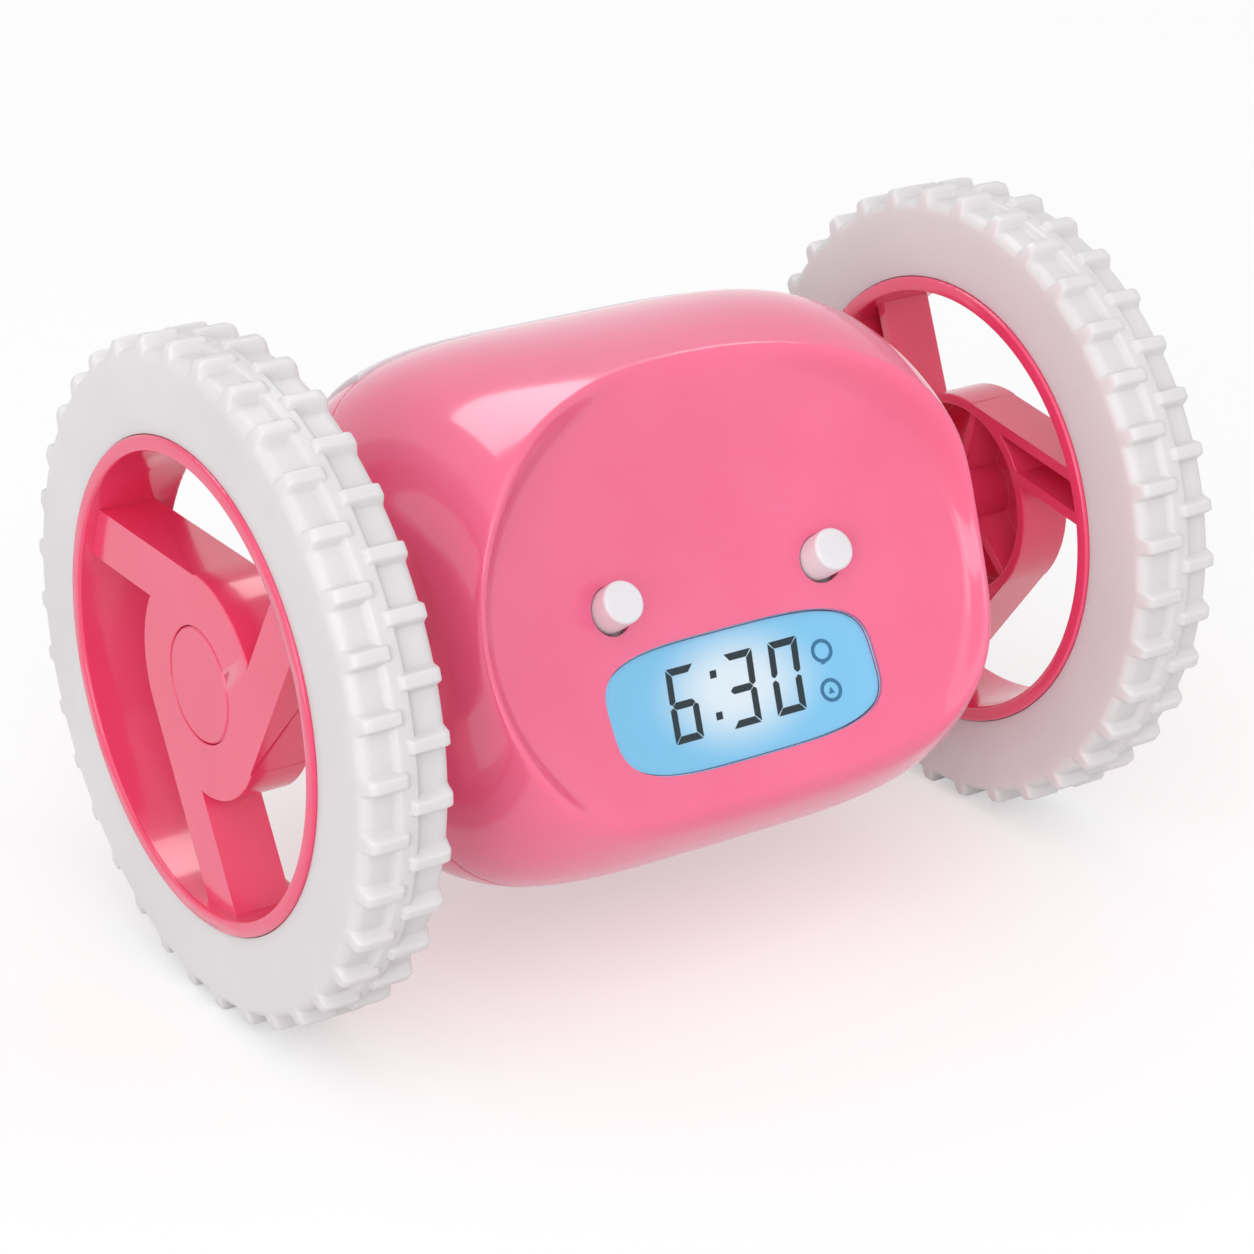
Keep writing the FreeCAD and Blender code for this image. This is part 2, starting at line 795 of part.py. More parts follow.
def dish(name, grow):
    """The scoop that makes the concave face: an ellipsoid, held inside a drafted oval brow."""
    scoop = doc.addObject("Part::Ellipsoid", name + "_scoop")
    bind(scoop, "Radius1", S.dish_height_radius + grow)
    bind(scoop, "Radius2", S.dish_width_radius + grow)
    bind(scoop, "Radius3", S.dish_depth_radius + grow)
    place(scoop, 0, -S.dish_floor - S.dish_depth_radius, -S.dish_drop)
    oval = doc.addObject("Part::Ellipse", name + "_oval")
    bind(oval, "MajorRadius", S.brow_half_width + grow)
    bind(oval, "MinorRadius", S.brow_half_height + grow)
    place(oval, 0, -S.dish_floor + S.brow_start, -S.brow_drop, ALONG["front"])
    brow = doc.addObject("Part::Extrusion", name + "_brow")
    brow.Base = oval
    brow.DirMode = "Custom"
    brow.Dir = V(0, -1, 0)
    brow.Solid = True
    bind(brow, "LengthFwd", S.body_depth_radius)
    bind(brow, "TaperAngle", S.brow_draft)
    return common(name, scoop, brow)


def half_space(name, front):
    """A large block on the front or the rear side of the parting plane."""
    start = -SPACE if front else 0
    return box(name, (2 * SPACE, SPACE, 2 * SPACE), (-SPACE, start, -SPACE))


def bowed_block(name, grow, front, depth):
    """A block with the window's outline, grown by a distance, that runs rearwards from front."""
    body = new_body(name)
    sketch = new_sketch(body, name + "_outline")
    add_bowed_rectangle(sketch, S.window_half_width + grow, S.window_half_height + grow, S.window_bow)
    block = pad(body, name + "_pad", sketch, depth, True)
    doc.recompute()
    corners = [edge_name(index) for index, edge in enumerate(block.Shape.Edges, start=1)
               if edge.BoundBox.ZLength > 0.1]
    fillet = body.newObject("PartDesign::Fillet", name + "_corners")
    fillet.Base = (block, corners)
    bind(fillet, "Radius", S.window_corner + grow)
    body.Tip = fillet
    place(body, 0, front, -S.window_drop, ALONG["front"])
    return body


def edge_name(index):
    return "Edge%d" % index


def eye_hole(name, side):
    reach = S.eye_hole_reach
    item = cylinder(name, S.eye_hole_radius, 2 * reach, side * S.eye_spacing / 2,
                    -S.eye_forward - reach * cosine(S.eye_tilt),
                    -S.eye_drop + reach * sine(S.eye_tilt), "rear")
    item.Placement = FreeCAD.Placement(V(0, 0, 0), FreeCAD.Rotation(X_AXIS, -90 - float(S.eye_tilt)))
    return item


CASE_SCREWS = (
    (-S.case_screw_high_half, S.case_screw_high),
    (S.case_screw_high_half, S.case_screw_high),
    (-S.case_screw_low_half, S.case_screw_low),
    (S.case_screw_low_half, S.case_screw_low),
)


def drive_layout():
    """Axes of the gear train in the core frame, as (rear, rise), and the turn that meshes each."""
    output_distance = (S.output_teeth + S.idler_pinion_teeth) * S.gear_module / 2 + S.gear_slack
    motor_distance = (S.idler_teeth + S.motor_pinion_teeth) * S.gear_module / 2 + S.gear_slack
    idler_turn = S.idler_angle + 180 + 180 / S.idler_pinion_teeth
    pitch = 360 / float(S.idler_teeth)
    steps = round((float(S.motor_angle) - float(idler_turn)) / pitch)
    motor_bearing = idler_turn + steps * 360 / S.idler_teeth
    motor_turn = motor_bearing + 180 + 180 / S.motor_pinion_teeth
    idler = polar(output_distance, S.idler_angle)
    reach = polar(motor_distance, motor_bearing)
    motor = (idler[0] + reach[0], idler[1] + reach[1])
    return SimpleNamespace(idler=idler, motor=motor, output_turn=S.idler_angle, idler_turn=idler_turn,
                           motor_turn=motor_turn, output_distance=output_distance)


DRIVE = drive_layout()
OUTPUT_TIP = (S.output_teeth / 2 + 1) * S.gear_module
IDLER_TIP = (S.idler_teeth / 2 + 1) * S.gear_module
CUP_RADIUS = (OUTPUT_TIP + DRIVE.output_distance + IDLER_TIP) / 2 + S.housing_gap
CUP_CENTRE = polar((DRIVE.output_distance + IDLER_TIP - OUTPUT_TIP) / 2, S.idler_angle)
EAR_ANGLES = (150.0, 243.0, 14.0)
MOUNT_EARS = (0, 1)
COVER_TOP = S.cover_face + S.cover_thickness
IDLER_LOW = COVER_TOP + S.gear_face_gap
IDLER_MIDDLE = IDLER_LOW + S.idler_width
OUTPUT_LOW = IDLER_MIDDLE + S.gear_face_gap
OUTPUT_TOP = OUTPUT_LOW + S.output_width
FLOOR_LOW = OUTPUT_TOP + S.gear_face_gap
FLOOR_TOP = FLOOR_LOW + S.housing_floor
PIN_END = FLOOR_TOP - S.pin_end_gap
EAR_TOPS = (FLOOR_TOP, FLOOR_TOP, COVER_TOP + S.short_ear)
END_FACE = S.body_half_length * STATIONS[-1]


def ear_centre(index):
    reach = polar(CUP_RADIUS + S.housing_wall + S.ear_reach, EAR_ANGLES[index])
    return CUP_CENTRE[0] + reach[0], CUP_CENTRE[1] + reach[1]


def axle_holes(name):
    return cylinder(name, S.bush_radius, 2 * SPACE, -SPACE)


def front_shell(hull, inside):
    """The front half: the concave face, the window opening, button holes, bosses and posts."""
    front = half_space("front_half", True)
    skin = common("front_skin", cut("front_hull_skin", hull, [inside]), front)
    solid = common("front_solid", hull, front)
    posts = []
    studs = []
    stud_end = END_FACE - 0.8 * S.shell_wall
    for index, (x, rise) in enumerate(CASE_SCREWS):
        posts.append(cylinder("front_case_boss_%d" % index, S.case_boss_radius, SPACE, x, 0, rise, "front"))
    for side in (-1, 1):
        for index in MOUNT_EARS:
            rear, rise = ear_centre(index)
            start = side * FLOOR_TOP if side > 0 else -stud_end
            studs.append(cylinder("gear_boss_%d_%d" % (side + 1, index), S.ear_radius, stud_end - FLOOR_TOP,
                                  start, rear, rise))
        for index, rise in enumerate(BOARD_SCREW_RISES):
            posts.append(cylinder("board_post_%d_%d" % (side + 1, index), S.board_post_radius,
                                  SPACE, side * BOARD_SCREW_HALF, -S.board_forward, rise, "front"))
    bosses = common("front_bosses", group("front_posts", posts), solid)
    body = fuse("front_walls", [skin, bosses] + studs)
    tools = [axle_holes("front_axle_holes"),
             bowed_block("window_opening", S.window_gap, -S.body_depth_radius, SPACE / 4)]
    for side in (-1, 1):
        tools.append(eye_hole("eye_hole_%d" % (side + 1), side))
        for index in MOUNT_EARS:
            rear, rise = ear_centre(index)
            start = side * FLOOR_TOP if side > 0 else -FLOOR_TOP - S.gear_screw_bite
            tools.append(cylinder("gear_pilot_%d_%d" % (side + 1, index), S.screw_radius,
                                  S.gear_screw_bite, start, rear, rise))
        for index, rise in enumerate(BOARD_SCREW_RISES):
            tools.append(cylinder("board_pilot_%d_%d" % (side + 1, index), S.screw_radius,
                                  S.board_screw_bite, side * BOARD_SCREW_HALF, -S.board_forward,
                                  rise, "front"))
    for index, (x, rise) in enumerate(CASE_SCREWS):
        tools.append(cylinder("case_pilot_%d" % index, S.screw_radius,
                              S.case_screw_bite + S.pilot_extra, x, 0, rise, "front"))
    return finished_shell("front_shell", body, tools)


def finished_shell(label, body, tools):
    item = cut(label, body, tools)
    place_in_core(item)
    return node(item, label)


BOARD_SCREW_RISES = (S.board_screw_rise,)
BOARD_SCREW_HALF = S.board_half_width - S.board_screw_inset


def sector(name, radius, low_angle, high_angle, half_width):
    """A wedge about the battery bay's centre line, between two angles in the core frame."""
    item = doc.addObject("Part::Cylinder", name)
    bind(item, "Radius", radius)
    bind(item, "Height", 2 * half_width)
    bind(item, "Angle", high_angle - low_angle)
    turn = FreeCAD.Rotation(X_AXIS, float(low_angle)).multiply(CORE_TO_SIDE)
    return place(item, -half_width, S.bay_centre_rear, S.bay_centre_rise, turn)


def bay_disc(name, radius, half_width):
    return cylinder(name, radius, 2 * half_width, -half_width, S.bay_centre_rear, S.bay_centre_rise)


CELL_LAST_ANGLE = S.cell_first_angle + (S.cell_count - 1) * S.cell_pitch_angle
BAY_HALF = (S.cell_length + S.cell_nub_length + S.spring_length) / 2 + S.plate_metal + S.plate_play
BAY_ROOF = S.bay_cell_radius - S.cell_radius - S.bay_gap
DOOR_HALF = BAY_HALF - S.door_inset
DOOR_CORE = BAY_ROOF + S.door_core_margin


def bay_block(name, wall, hull_rear):
    """The bay's outline grown by a wall, kept inside the hull's rear half."""
    wall_angle = wall * 2
    wedge = sector(name + "_wedge", SPACE / 4, S.cell_first_angle - S.bay_side_angle - wall_angle,
                   CELL_LAST_ANGLE + S.bay_side_angle + wall_angle, BAY_HALF + wall)
    ring = cut(name + "_ring", wedge, [bay_disc(name + "_core", BAY_ROOF - wall, SPACE)])
    return common(name, ring, hull_rear)


def door_wedge(name, side_angle, half_width):
    wedge = sector(name + "_wedge", SPACE / 4, S.cell_first_angle - side_angle,
                   CELL_LAST_ANGLE + side_angle, half_width)
    return cut(name, wedge, [bay_disc(name + "_core", DOOR_CORE, SPACE)])


def rear_shell(hull, inside, skin_all):
    """The rear half: battery bay, door opening, snooze opening and shelf, buttons and grille."""
    rear = half_space("rear_half", False)
    skin = common("rear_skin", skin_all, rear)
    solid = common("rear_solid", hull, rear)
    room = common("rear_room", inside, rear)
    posts = [cylinder("rear_case_boss_%d" % index, S.case_boss_radius, SPACE, x, 0, rise, "rear")
             for index, (x, rise) in enumerate(CASE_SCREWS)]
    bosses = common("rear_bosses", group("rear_posts", posts), solid)
    shelf = common("snooze_shelf", box("shelf_block", (SPACE, SPACE, S.shelf_thickness),
                                       (-SPACE / 2, 0, S.shelf_rise)), solid)
    bay = bay_block("battery_bay", S.bay_wall, solid)
    body = fuse("rear_walls", [skin, bosses, shelf, bay])
    bay_room = bay_block("bay_room", Formula.of(0), room)
    opened = cut("rear_bay_opened", body, [bay_room])
    tools = [
        axle_holes("rear_axle_holes"),
        door_wedge("door_opening", S.door_side_angle + S.door_side_play, DOOR_HALF + S.door_gap),
        snooze_prism("snooze_opening", S.snooze_gap, S.shelf_rise + S.shelf_thickness),
    ]
    for index in range(4):
        tools.append(cylinder("set_hole_%d" % index, S.set_radius + S.set_hole_gap, SPACE / 8,
                              S.set_first + index * S.set_pitch, S.set_board_rear + S.set_hole_start,
                              S.set_rise, "rear"))
    tools += grille("grille")
    for index, (x, rise) in enumerate(CASE_SCREWS):
        way = cylinder("case_way_%d" % index, S.screw_radius + S.screw_clearance, SPACE / 2,
                       x, -1, rise, "rear")
        seat = cylinder("case_seat_%d" % index, S.screw_head_radius + S.screw_clearance, SPACE / 2,
                        x, CASE_SEATS[index], rise, "rear")
        tools.append(fuse("case_hole_%d" % index, [way, seat]))
    return finished_shell("rear_shell", opened, tools)


CASE_SEATS = (S.case_seat_high, S.case_seat_high, S.case_seat_low, S.case_seat_low)


def grille(name):
    """Seven sound holes in front of the speaker."""
    holes = []
    spots = [(0, 0)] + [(math.cos(math.radians(60 * k)), math.sin(math.radians(60 * k))) for k in range(6)]
    for index, (across, up) in enumerate(spots):
        holes.append(cylinder("%s_%d" % (name, index), S.grille_hole_radius, SPACE / 8,
                              S.speaker_x + across * S.grille_pitch, S.speaker_front + S.speaker_depth,
                              S.speaker_rise + up * S.grille_pitch, "rear"))
    return holes


def snooze_prism(name, grow, low):
    half = S.snooze_half_width + grow
    return box(name, (2 * half, S.snooze_depth + 2 * grow, SPACE / 4), (-half, S.snooze_gap - grow, low))


def snooze_button(proud_hull):
    """The long bar at the top: a curved skin with a plunger and two guide legs below it."""
    core = barrel("snooze_inner", S.snooze_proud - S.snooze_skin)
    shell = cut("snooze_shell", proud_hull, [core])
    skin = common("snooze_skin_piece", shell, snooze_prism("snooze_outline", Formula.of(0), S.shelf_rise))
    middle = S.snooze_gap + S.snooze_depth / 2
    plunger_end = SNOOZE_SWITCH_TOP + S.snooze_travel + S.button_stop_gap
    posts = [cylinder("snooze_plunger", S.snooze_plunger_radius, SPACE / 4, 0, middle, plunger_end, "rise")]
    for side in (-1, 1):
        low = S.shelf_rise + S.shelf_thickness + S.snooze_travel + S.button_stop_gap
        posts.append(box("snooze_leg_%d" % (side + 1),
                         (S.snooze_leg_thickness, S.snooze_leg_width, SPACE / 4),
                         (side * (S.snooze_half_width - S.snooze_leg_inset) - S.snooze_leg_thickness / 2,
                          middle - S.snooze_leg_width / 2, low)))
    legs = common("snooze_legs", group("snooze_posts", posts), proud_hull)
    item = fuse("snooze_button", [skin, legs])
    place_in_core(item)
    return node(item, "snooze_button")


SNOOZE_SWITCH_TOP = (S.shelf_rise + S.shelf_thickness + S.board_thickness + S.switch_body
                     + S.switch_stem)


def battery_door(skin_all):
    """The curved door over the cells, cut from the same skin as the shell."""
    piece = common("door_piece", skin_all, door_wedge("door_outline", S.door_side_angle, DOOR_HALF))
    radius = S.bay_cell_radius + S.cell_radius + S.door_grip_height
    grips = []
    for index in range(int(float(S.door_grip_count))):
        reach = polar(radius, S.cell_first_angle + (index - 1) * S.door_grip_pitch)
        grips.append(cylinder("door_grip_%d" % index, S.door_grip_radius, S.door_grip_length,
                              -S.door_grip_length / 2, S.bay_centre_rear + reach[0],
                              S.bay_centre_rise + reach[1]))
    item = cut("battery_door", piece, grips)
    place_in_core(item)
    return node(item, "battery_door")


# Display

WINDOW_FRONT = -S.dish_floor + S.window_sink
FLANGE_FRONT = -S.dish_floor + S.shell_wall + S.flange_gap
PANEL_FRONT = FLANGE_FRONT + S.flange_thickness + S.panel_gap
PANEL_REAR = PANEL_FRONT + S.panel_thickness
BOARD_FRONT = -S.board_forward


def lcd_window():
    """The clear window with a flange that seats behind the face."""
    pane = bowed_block("window_pane", Formula.of(0), WINDOW_FRONT,
                       FLANGE_FRONT - WINDOW_FRONT + S.pane_overlap)
    flange = bowed_block("window_flange_block", S.window_flange, FLANGE_FRONT, S.flange_thickness)
    item = fuse("lcd_window", [pane, flange])
    place_in_core(item)
    return node(item, "lcd_window")


def slab(label, half_width, low, high, front, depth, holes=()):
    """A rectangular plate parallel to the face, in core coordinates, with round holes."""
    body = new_body(label)
    sketch = new_sketch(body, label + "_outline")
    add_polygon(sketch, [(-half_width, low), (half_width, low), (half_width, high), (-half_width, high)])
    for x, rise, radius in holes:
        add_circle(sketch, radius, x, rise)
    pad(body, label + "_pad", sketch, depth, True)
    place_in_core(body, 0, front, 0, 90)
    return node(body, label)


def display():
    middle = -S.window_drop
    half_height = S.panel_height / 2
    half_width = S.panel_width / 2
    slab("lcd_panel", half_width, middle - half_height, middle + half_height, PANEL_FRONT, S.panel_thickness)
    margin = S.backlight_margin
    slab("backlight", half_width - margin, middle - half_height + margin, middle + half_height - margin,
         PANEL_REAR + S.backlight_gap, S.backlight_thickness)
    strips = []
    for index, side in enumerate((-1, 1)):
        low = middle + side * (half_height - S.strip_inset) - S.strip_thickness / 2
        length = S.panel_width - 2 * S.strip_end_gap
        strips.append(box("strip_%d" % index, (length, BOARD_FRONT - PANEL_REAR, S.strip_thickness),
                          (-length / 2, PANEL_REAR, low)))
    node(place_in_core(group("contact_strips", strips)), "contact_strips")
    wall = S.holder_wall
    outer = box("holder_block", (S.panel_width + 2 * wall, BOARD_FRONT - PANEL_FRONT,
                                 S.panel_height + 2 * wall),
                (-half_width - wall, PANEL_FRONT, middle - half_height - wall))
    play = S.holder_play
    room = box("holder_room", (S.panel_width + 2 * play, SPACE, S.panel_height + 2 * play),
               (-half_width - play, -SPACE / 2, middle - half_height - play))
    holder = cut("lcd_holder", outer, [room])
    node(place_in_core(holder), "lcd_holder")


# Buttons, boards and switches

def push_button(label, radius, proud, relief, stem_end):
    """A turned button: a head through the wall, a flange behind it and a stem."""
    chamfer = S.eye_chamfer
    flange_top = S.shell_wall + relief + S.button_seat_gap
    flange_base = flange_top + S.button_flange_thickness
    return turned(label, [
        (0, proud),
        (radius - chamfer, proud),
        (radius, proud - chamfer),
        (radius, -flange_top),
        (radius + S.button_flange, -flange_top),
        (radius + S.button_flange, -flange_base),
        (S.button_stem_radius, -flange_base),
        (S.button_stem_radius, -stem_end),
        (0, -stem_end),
    ])


def eye_buttons():
    board_gap = (S.eye_forward - S.board_forward) / cosine(S.eye_tilt)
    stem_end = board_gap - S.switch_body - S.switch_stem - S.button_travel \
        - S.button_stop_gap - S.eye_stem_gap
    for side, label in ((-1, "left_eye_button"), (1, "right_eye_button")):
        body = push_button(label, S.eye_radius, S.eye_proud, S.button_relief, stem_end)
        place_in_core(body, side * S.eye_spacing / 2, -S.eye_forward, -S.eye_drop, 90 - S.eye_tilt)
        node(body, label)


def tact_switch(name, x, rear, rise, facing):
    """A small square switch with a round stem, standing on a board and facing one way."""
    sign = -1 if facing == "front" else 1
    half = S.switch_width / 2
    if facing == "rise":
        base = box(name + "_base", (S.switch_width, S.switch_width, S.switch_body),
                   (x - half, rear - half, rise))
        stem = cylinder(name + "_stem", S.switch_stem_radius, S.switch_stem, x, rear,
                        rise + S.switch_body, "rise")
    else:
        start = rear - S.switch_body if facing == "front" else rear
        base = box(name + "_base", (S.switch_width, S.switch_body, S.switch_width),
                   (x - half, start, rise - half))
        stem = cylinder(name + "_stem", S.switch_stem_radius, S.switch_stem, x,
                        rear + sign * S.switch_body, rise, facing)
    return fuse(name, [base, stem])


# parts on the back of the main board: name, radius, height, x and rise
ROUND_CHIPS = (
    ("chip_blob", 5.0, 1.6, 0.0, -12.0),
    ("capacitor_a", 2.0, 3.0, 19.0, -6.0),
    ("capacitor_b", 2.0, 3.0, -19.0, -8.0),
)
# name, width, height, depth, x and rise
SQUARE_CHIPS = (
    ("crystal", 8.0, 1.6, 3.0, 9.0, -18.0),
    ("driver_chip", 9.0, 1.6, 4.0, -20.0, -16.0),
)


def electronics():
    holes = [(side * BOARD_SCREW_HALF, rise, S.screw_radius + S.screw_clearance)
             for side in (-1, 1) for rise in BOARD_SCREW_RISES]
    slab("main_board", S.board_half_width, S.board_bottom, S.board_top, BOARD_FRONT, S.board_thickness,
         holes)
    board_rear = BOARD_FRONT + S.board_thickness
    drop = (S.eye_forward - S.board_forward) * sine(S.eye_tilt) / cosine(S.eye_tilt)
    switches = [tact_switch("face_switch_%d" % (side + 1), side * S.eye_spacing / 2, BOARD_FRONT,
                            -S.eye_drop - drop, "front") for side in (-1, 1)]
    node(place_in_core(group("face_switches", switches)), "face_switches")
    chips = [cylinder(name, radius, height, x, board_rear, rise, "rear")
             for name, radius, height, x, rise in ROUND_CHIPS]
    chips += [box(name, (width, height, depth), (x, board_rear, rise))
              for name, width, height, depth, x, rise in SQUARE_CHIPS]
    node(place_in_core(group("board_parts", chips)), "board_parts")
    set_electronics()
    snooze_electronics()


def set_electronics():
    """The rear button board: four switches and the four set buttons."""
    low = S.set_rise - S.set_board_height / 2
    left = S.set_first - S.set_board_margin
    right = S.set_first + 3 * S.set_pitch + S.set_board_margin
    board = box("button_board_plate", (right - left, S.board_thickness, S.set_board_height),
                (left, S.set_board_rear - S.board_thickness, low))
    node(place_in_core(group("button_board", [board])), "button_board")
    spots = [S.set_first + index * S.set_pitch for index in range(4)]
    switches = [tact_switch("set_switch_%d" % index, x, S.set_board_rear, S.set_rise, "rear")
                for index, x in enumerate(spots)]
    node(place_in_core(group("set_switches", switches)), "set_switches")
    labels = ("hour_button", "minute_button", "time_button", "alarm_button")
    for x, label in zip(spots, labels):
        rear = hull_rear_at(float(x), float(S.set_rise))
        stem_end = rear - (S.set_board_rear + S.switch_body + S.switch_stem) - S.button_travel \
            - S.button_stop_gap
        body = push_button(label, S.set_radius, S.set_proud, S.set_relief, stem_end)
        place_in_core(body, x, rear, S.set_rise, -90)
        node(body, label)


def hull_rear_at(x, rise):
    """Where the body's outer surface lies behind the parting plane, at an x and a rise."""
    share = (1 - (abs(x) / float(S.body_half_length)) ** float(S.end_squareness))
    share = share ** (1 / float(S.end_squareness))
    depth = float(S.body_depth_radius) * share
    height = float(S.body_height_radius) * share
    rise = rise - float(S.body_shift_rise)
    turn = math.radians(float(S.section_tilt))
    cos_turn, sin_turn = math.cos(turn), math.sin(turn)
    quad = (cos_turn / depth) ** 2 + (sin_turn / height) ** 2
    linear = 2 * rise * cos_turn * sin_turn * (1 / depth ** 2 - 1 / height ** 2)
    constant = rise ** 2 * ((sin_turn / depth) ** 2 + (cos_turn / height) ** 2) - 1
    reach = (-linear + math.sqrt(linear ** 2 - 4 * quad * constant)) / (2 * quad)
    return Formula.of(reach + float(S.body_shift_rear))


def snooze_electronics():
    base = S.shelf_rise + S.shelf_thickness
    middle = S.snooze_gap + S.snooze_depth / 2
    board = box("snooze_board_plate", (S.snooze_board_width, S.snooze_board_depth, S.board_thickness),
                (-S.snooze_board_width / 2, middle - S.snooze_board_depth / 2, base))
    node(place_in_core(group("snooze_board", [board])), "snooze_board")
    switch = tact_switch("snooze_switch_piece", 0, middle, base + S.board_thickness, "rise")
    node(place_in_core(group("snooze_switch", [switch])), "snooze_switch")


def speaker():
    """A small round speaker that faces the grille."""
    front, rise = S.speaker_front, S.speaker_rise
    can = cylinder("speaker_can", S.speaker_radius, S.speaker_depth, S.speaker_x, front, rise, "rear")
    magnet = cylinder("speaker_magnet", S.speaker_radius / 2, S.speaker_magnet, S.speaker_x,
                      front - S.speaker_magnet, rise, "rear")
    face = cylinder("speaker_face", S.speaker_radius - S.speaker_rim, S.speaker_depth, S.speaker_x,
                    front + S.speaker_depth - S.speaker_recess, rise, "rear")
    item = cut("speaker", fuse("speaker_body", [can, magnet]), [face])
    node(place_in_core(item), "speaker")


# Battery cells and contacts

def cell_place(index):
    reach = polar(S.bay_cell_radius, S.cell_first_angle + index * S.cell_pitch_angle)
    return S.bay_centre_rear + reach[0], S.bay_centre_rise + reach[1]


def battery():
    springs = []
    plates = []
    inner = BAY_HALF - S.plate_metal - S.plate_play
    for index in range(int(float(S.cell_count))):
        rear, rise = cell_place(index)
        flip = 1 if index % 2 else -1
        label = "battery_cell_%d" % (index + 1)
        body = turned(label, [
            (0, -S.cell_length / 2),
            (S.cell_radius - S.cell_edge, -S.cell_length / 2),
            (S.cell_radius, -S.cell_length / 2 + S.cell_edge),
            (S.cell_radius, S.cell_length / 2 - S.cell_edge),
            (S.cell_radius - S.cell_edge, S.cell_length / 2),
            (S.cell_nub_radius, S.cell_length / 2),
            (S.cell_nub_radius, S.cell_length / 2 + S.cell_nub_length),
            (0, S.cell_length / 2 + S.cell_nub_length),
        ])
        place_cell(body, index, flip)
        node(body, label)
        plates.append(contact_plate("plate_a_%d" % index, inner, rear, rise))
        plates.append(contact_plate("plate_b_%d" % index, -inner - S.plate_metal, rear, rise))
        springs.append(contact_spring("spring_%d" % index, flip, inner, rear, rise))
    node(place_in_core(group("battery_plates", plates)), "battery_plates")
    node(place_in_core(group("battery_springs", springs)), "battery_springs")


def place_cell(body, index, flip):
    """Lay a cell along X, its nub against the contact plate of its own side."""
    rear, rise = cell_place(index)
    shift = BAY_HALF - S.plate_metal - S.plate_play - S.cell_length / 2 - S.cell_nub_length
    body.Placement = FreeCAD.Placement(V(0, 0, 0), FreeCAD.Rotation(Y_AXIS, 90 * flip))
    bind(body, "Placement.Base.x", flip * shift)
    bind(body, "Placement.Base.y", rear * cosine(S.face_tilt) + rise * sine(S.face_tilt))
    bind(body, "Placement.Base.z", S.tyre_tip_radius - rear * sine(S.face_tilt) + rise * cosine(S.face_tilt))


def contact_plate(name, x, rear, rise):
    half = S.cell_radius * S.plate_share
    return box(name, (S.plate_metal, 2 * half, 2 * half), (x, rear - half, rise - half))


def contact_spring(name, flip, inner, rear, rise):
    """A coil between a contact plate and the flat end of a cell."""
    length = S.spring_length - 2 * S.spring_wire
    helix = doc.addObject("Part::Helix", name + "_helix")
    bind(helix, "Radius", S.cell_radius * S.spring_share)
    bind(helix, "Height", length)
    bind(helix, "Pitch", length / S.spring_turns)
    ring = doc.addObject("Part::RegularPolygon", name + "_wire")
    ring.Polygon = int(float(S.spring_wire_sides))
    bind(ring, "Circumradius", S.spring_wire / 2)
    place(ring, S.cell_radius * S.spring_share, 0, 0, FreeCAD.Rotation(X_AXIS, 90))
    coil = doc.addObject("Part::Sweep", name + "_coil")
    coil.Sections = [ring]
    coil.Spine = (helix, [edge_name(1)])
    coil.Solid = True
    coil.Frenet = True
    start = -inner + S.spring_wire if flip > 0 else inner - S.spring_wire - length
    place(coil, start, rear, rise, ALONG["x"])
    return coil


# Drive

def gear_teeth(body, name, teeth, low, width):
    """A root disc and a ring of straight-sided teeth, from height low, tooth one at angle 0."""
    root = (teeth / 2 - S.gear_root_share) * S.gear_module
    rim = new_sketch(body, name + "_root", "XY_Plane", low)
    add_circle(rim, root)
    pad(body, name + "_root_pad", rim, width)
    tooth = new_sketch(body, name + "_tooth", "XY_Plane", low)
    half_pitch = (math.pi / 4) * S.gear_module - S.gear_backlash / 2
    slope = math.tan(math.radians(float(S.gear_pressure_angle)))
    pitch_radius = teeth * S.gear_module / 2
    reach = S.gear_tip_share * S.gear_module
    tip_radius = pitch_radius + reach
    half_tip = half_pitch - slope * reach
    half_root = half_pitch + slope * reach
    foot = root - S.gear_tooth_sink
    add_polygon(tooth, [
        (foot, -half_root),
        (pitch_radius, -half_pitch),
        (tip_radius, -half_tip),
        (tip_radius, half_tip),
        (pitch_radius, half_pitch),
        (foot, half_root),
    ])
    feature = pad(body, name + "_tooth_pad", tooth, width)
    repeat(body, name + "_teeth", feature, teeth)


def bore(body, name, radius):
    sketch = new_sketch(body, name + "_bore", "XY_Plane", -1)
    add_circle(sketch, radius)
    item = pocket(body, name + "_bore_cut", sketch, SPACE, True)
    body.Tip = item


def place_gear(body, centre, turn):
    """Lay a gear on its axis, Z outwards to the right, with tooth one at an angle in the core frame."""
    rotation = FreeCAD.Rotation(X_AXIS, float(turn) - float(S.face_tilt)).multiply(CORE_TO_SIDE)
    rear, rise = centre
    body.Placement = FreeCAD.Placement(V(0, 0, 0), rotation)
    bind(body, "Placement.Base.y", rear * cosine(S.face_tilt) + rise * sine(S.face_tilt))
    bind(body, "Placement.Base.z", S.tyre_tip_radius - rear * sine(S.face_tilt) + rise * cosine(S.face_tilt))


def both_sides(item, part_name):
    node(item, "right_" + part_name)
    doc.recompute()
    mirrored(item, "left_" + part_name)


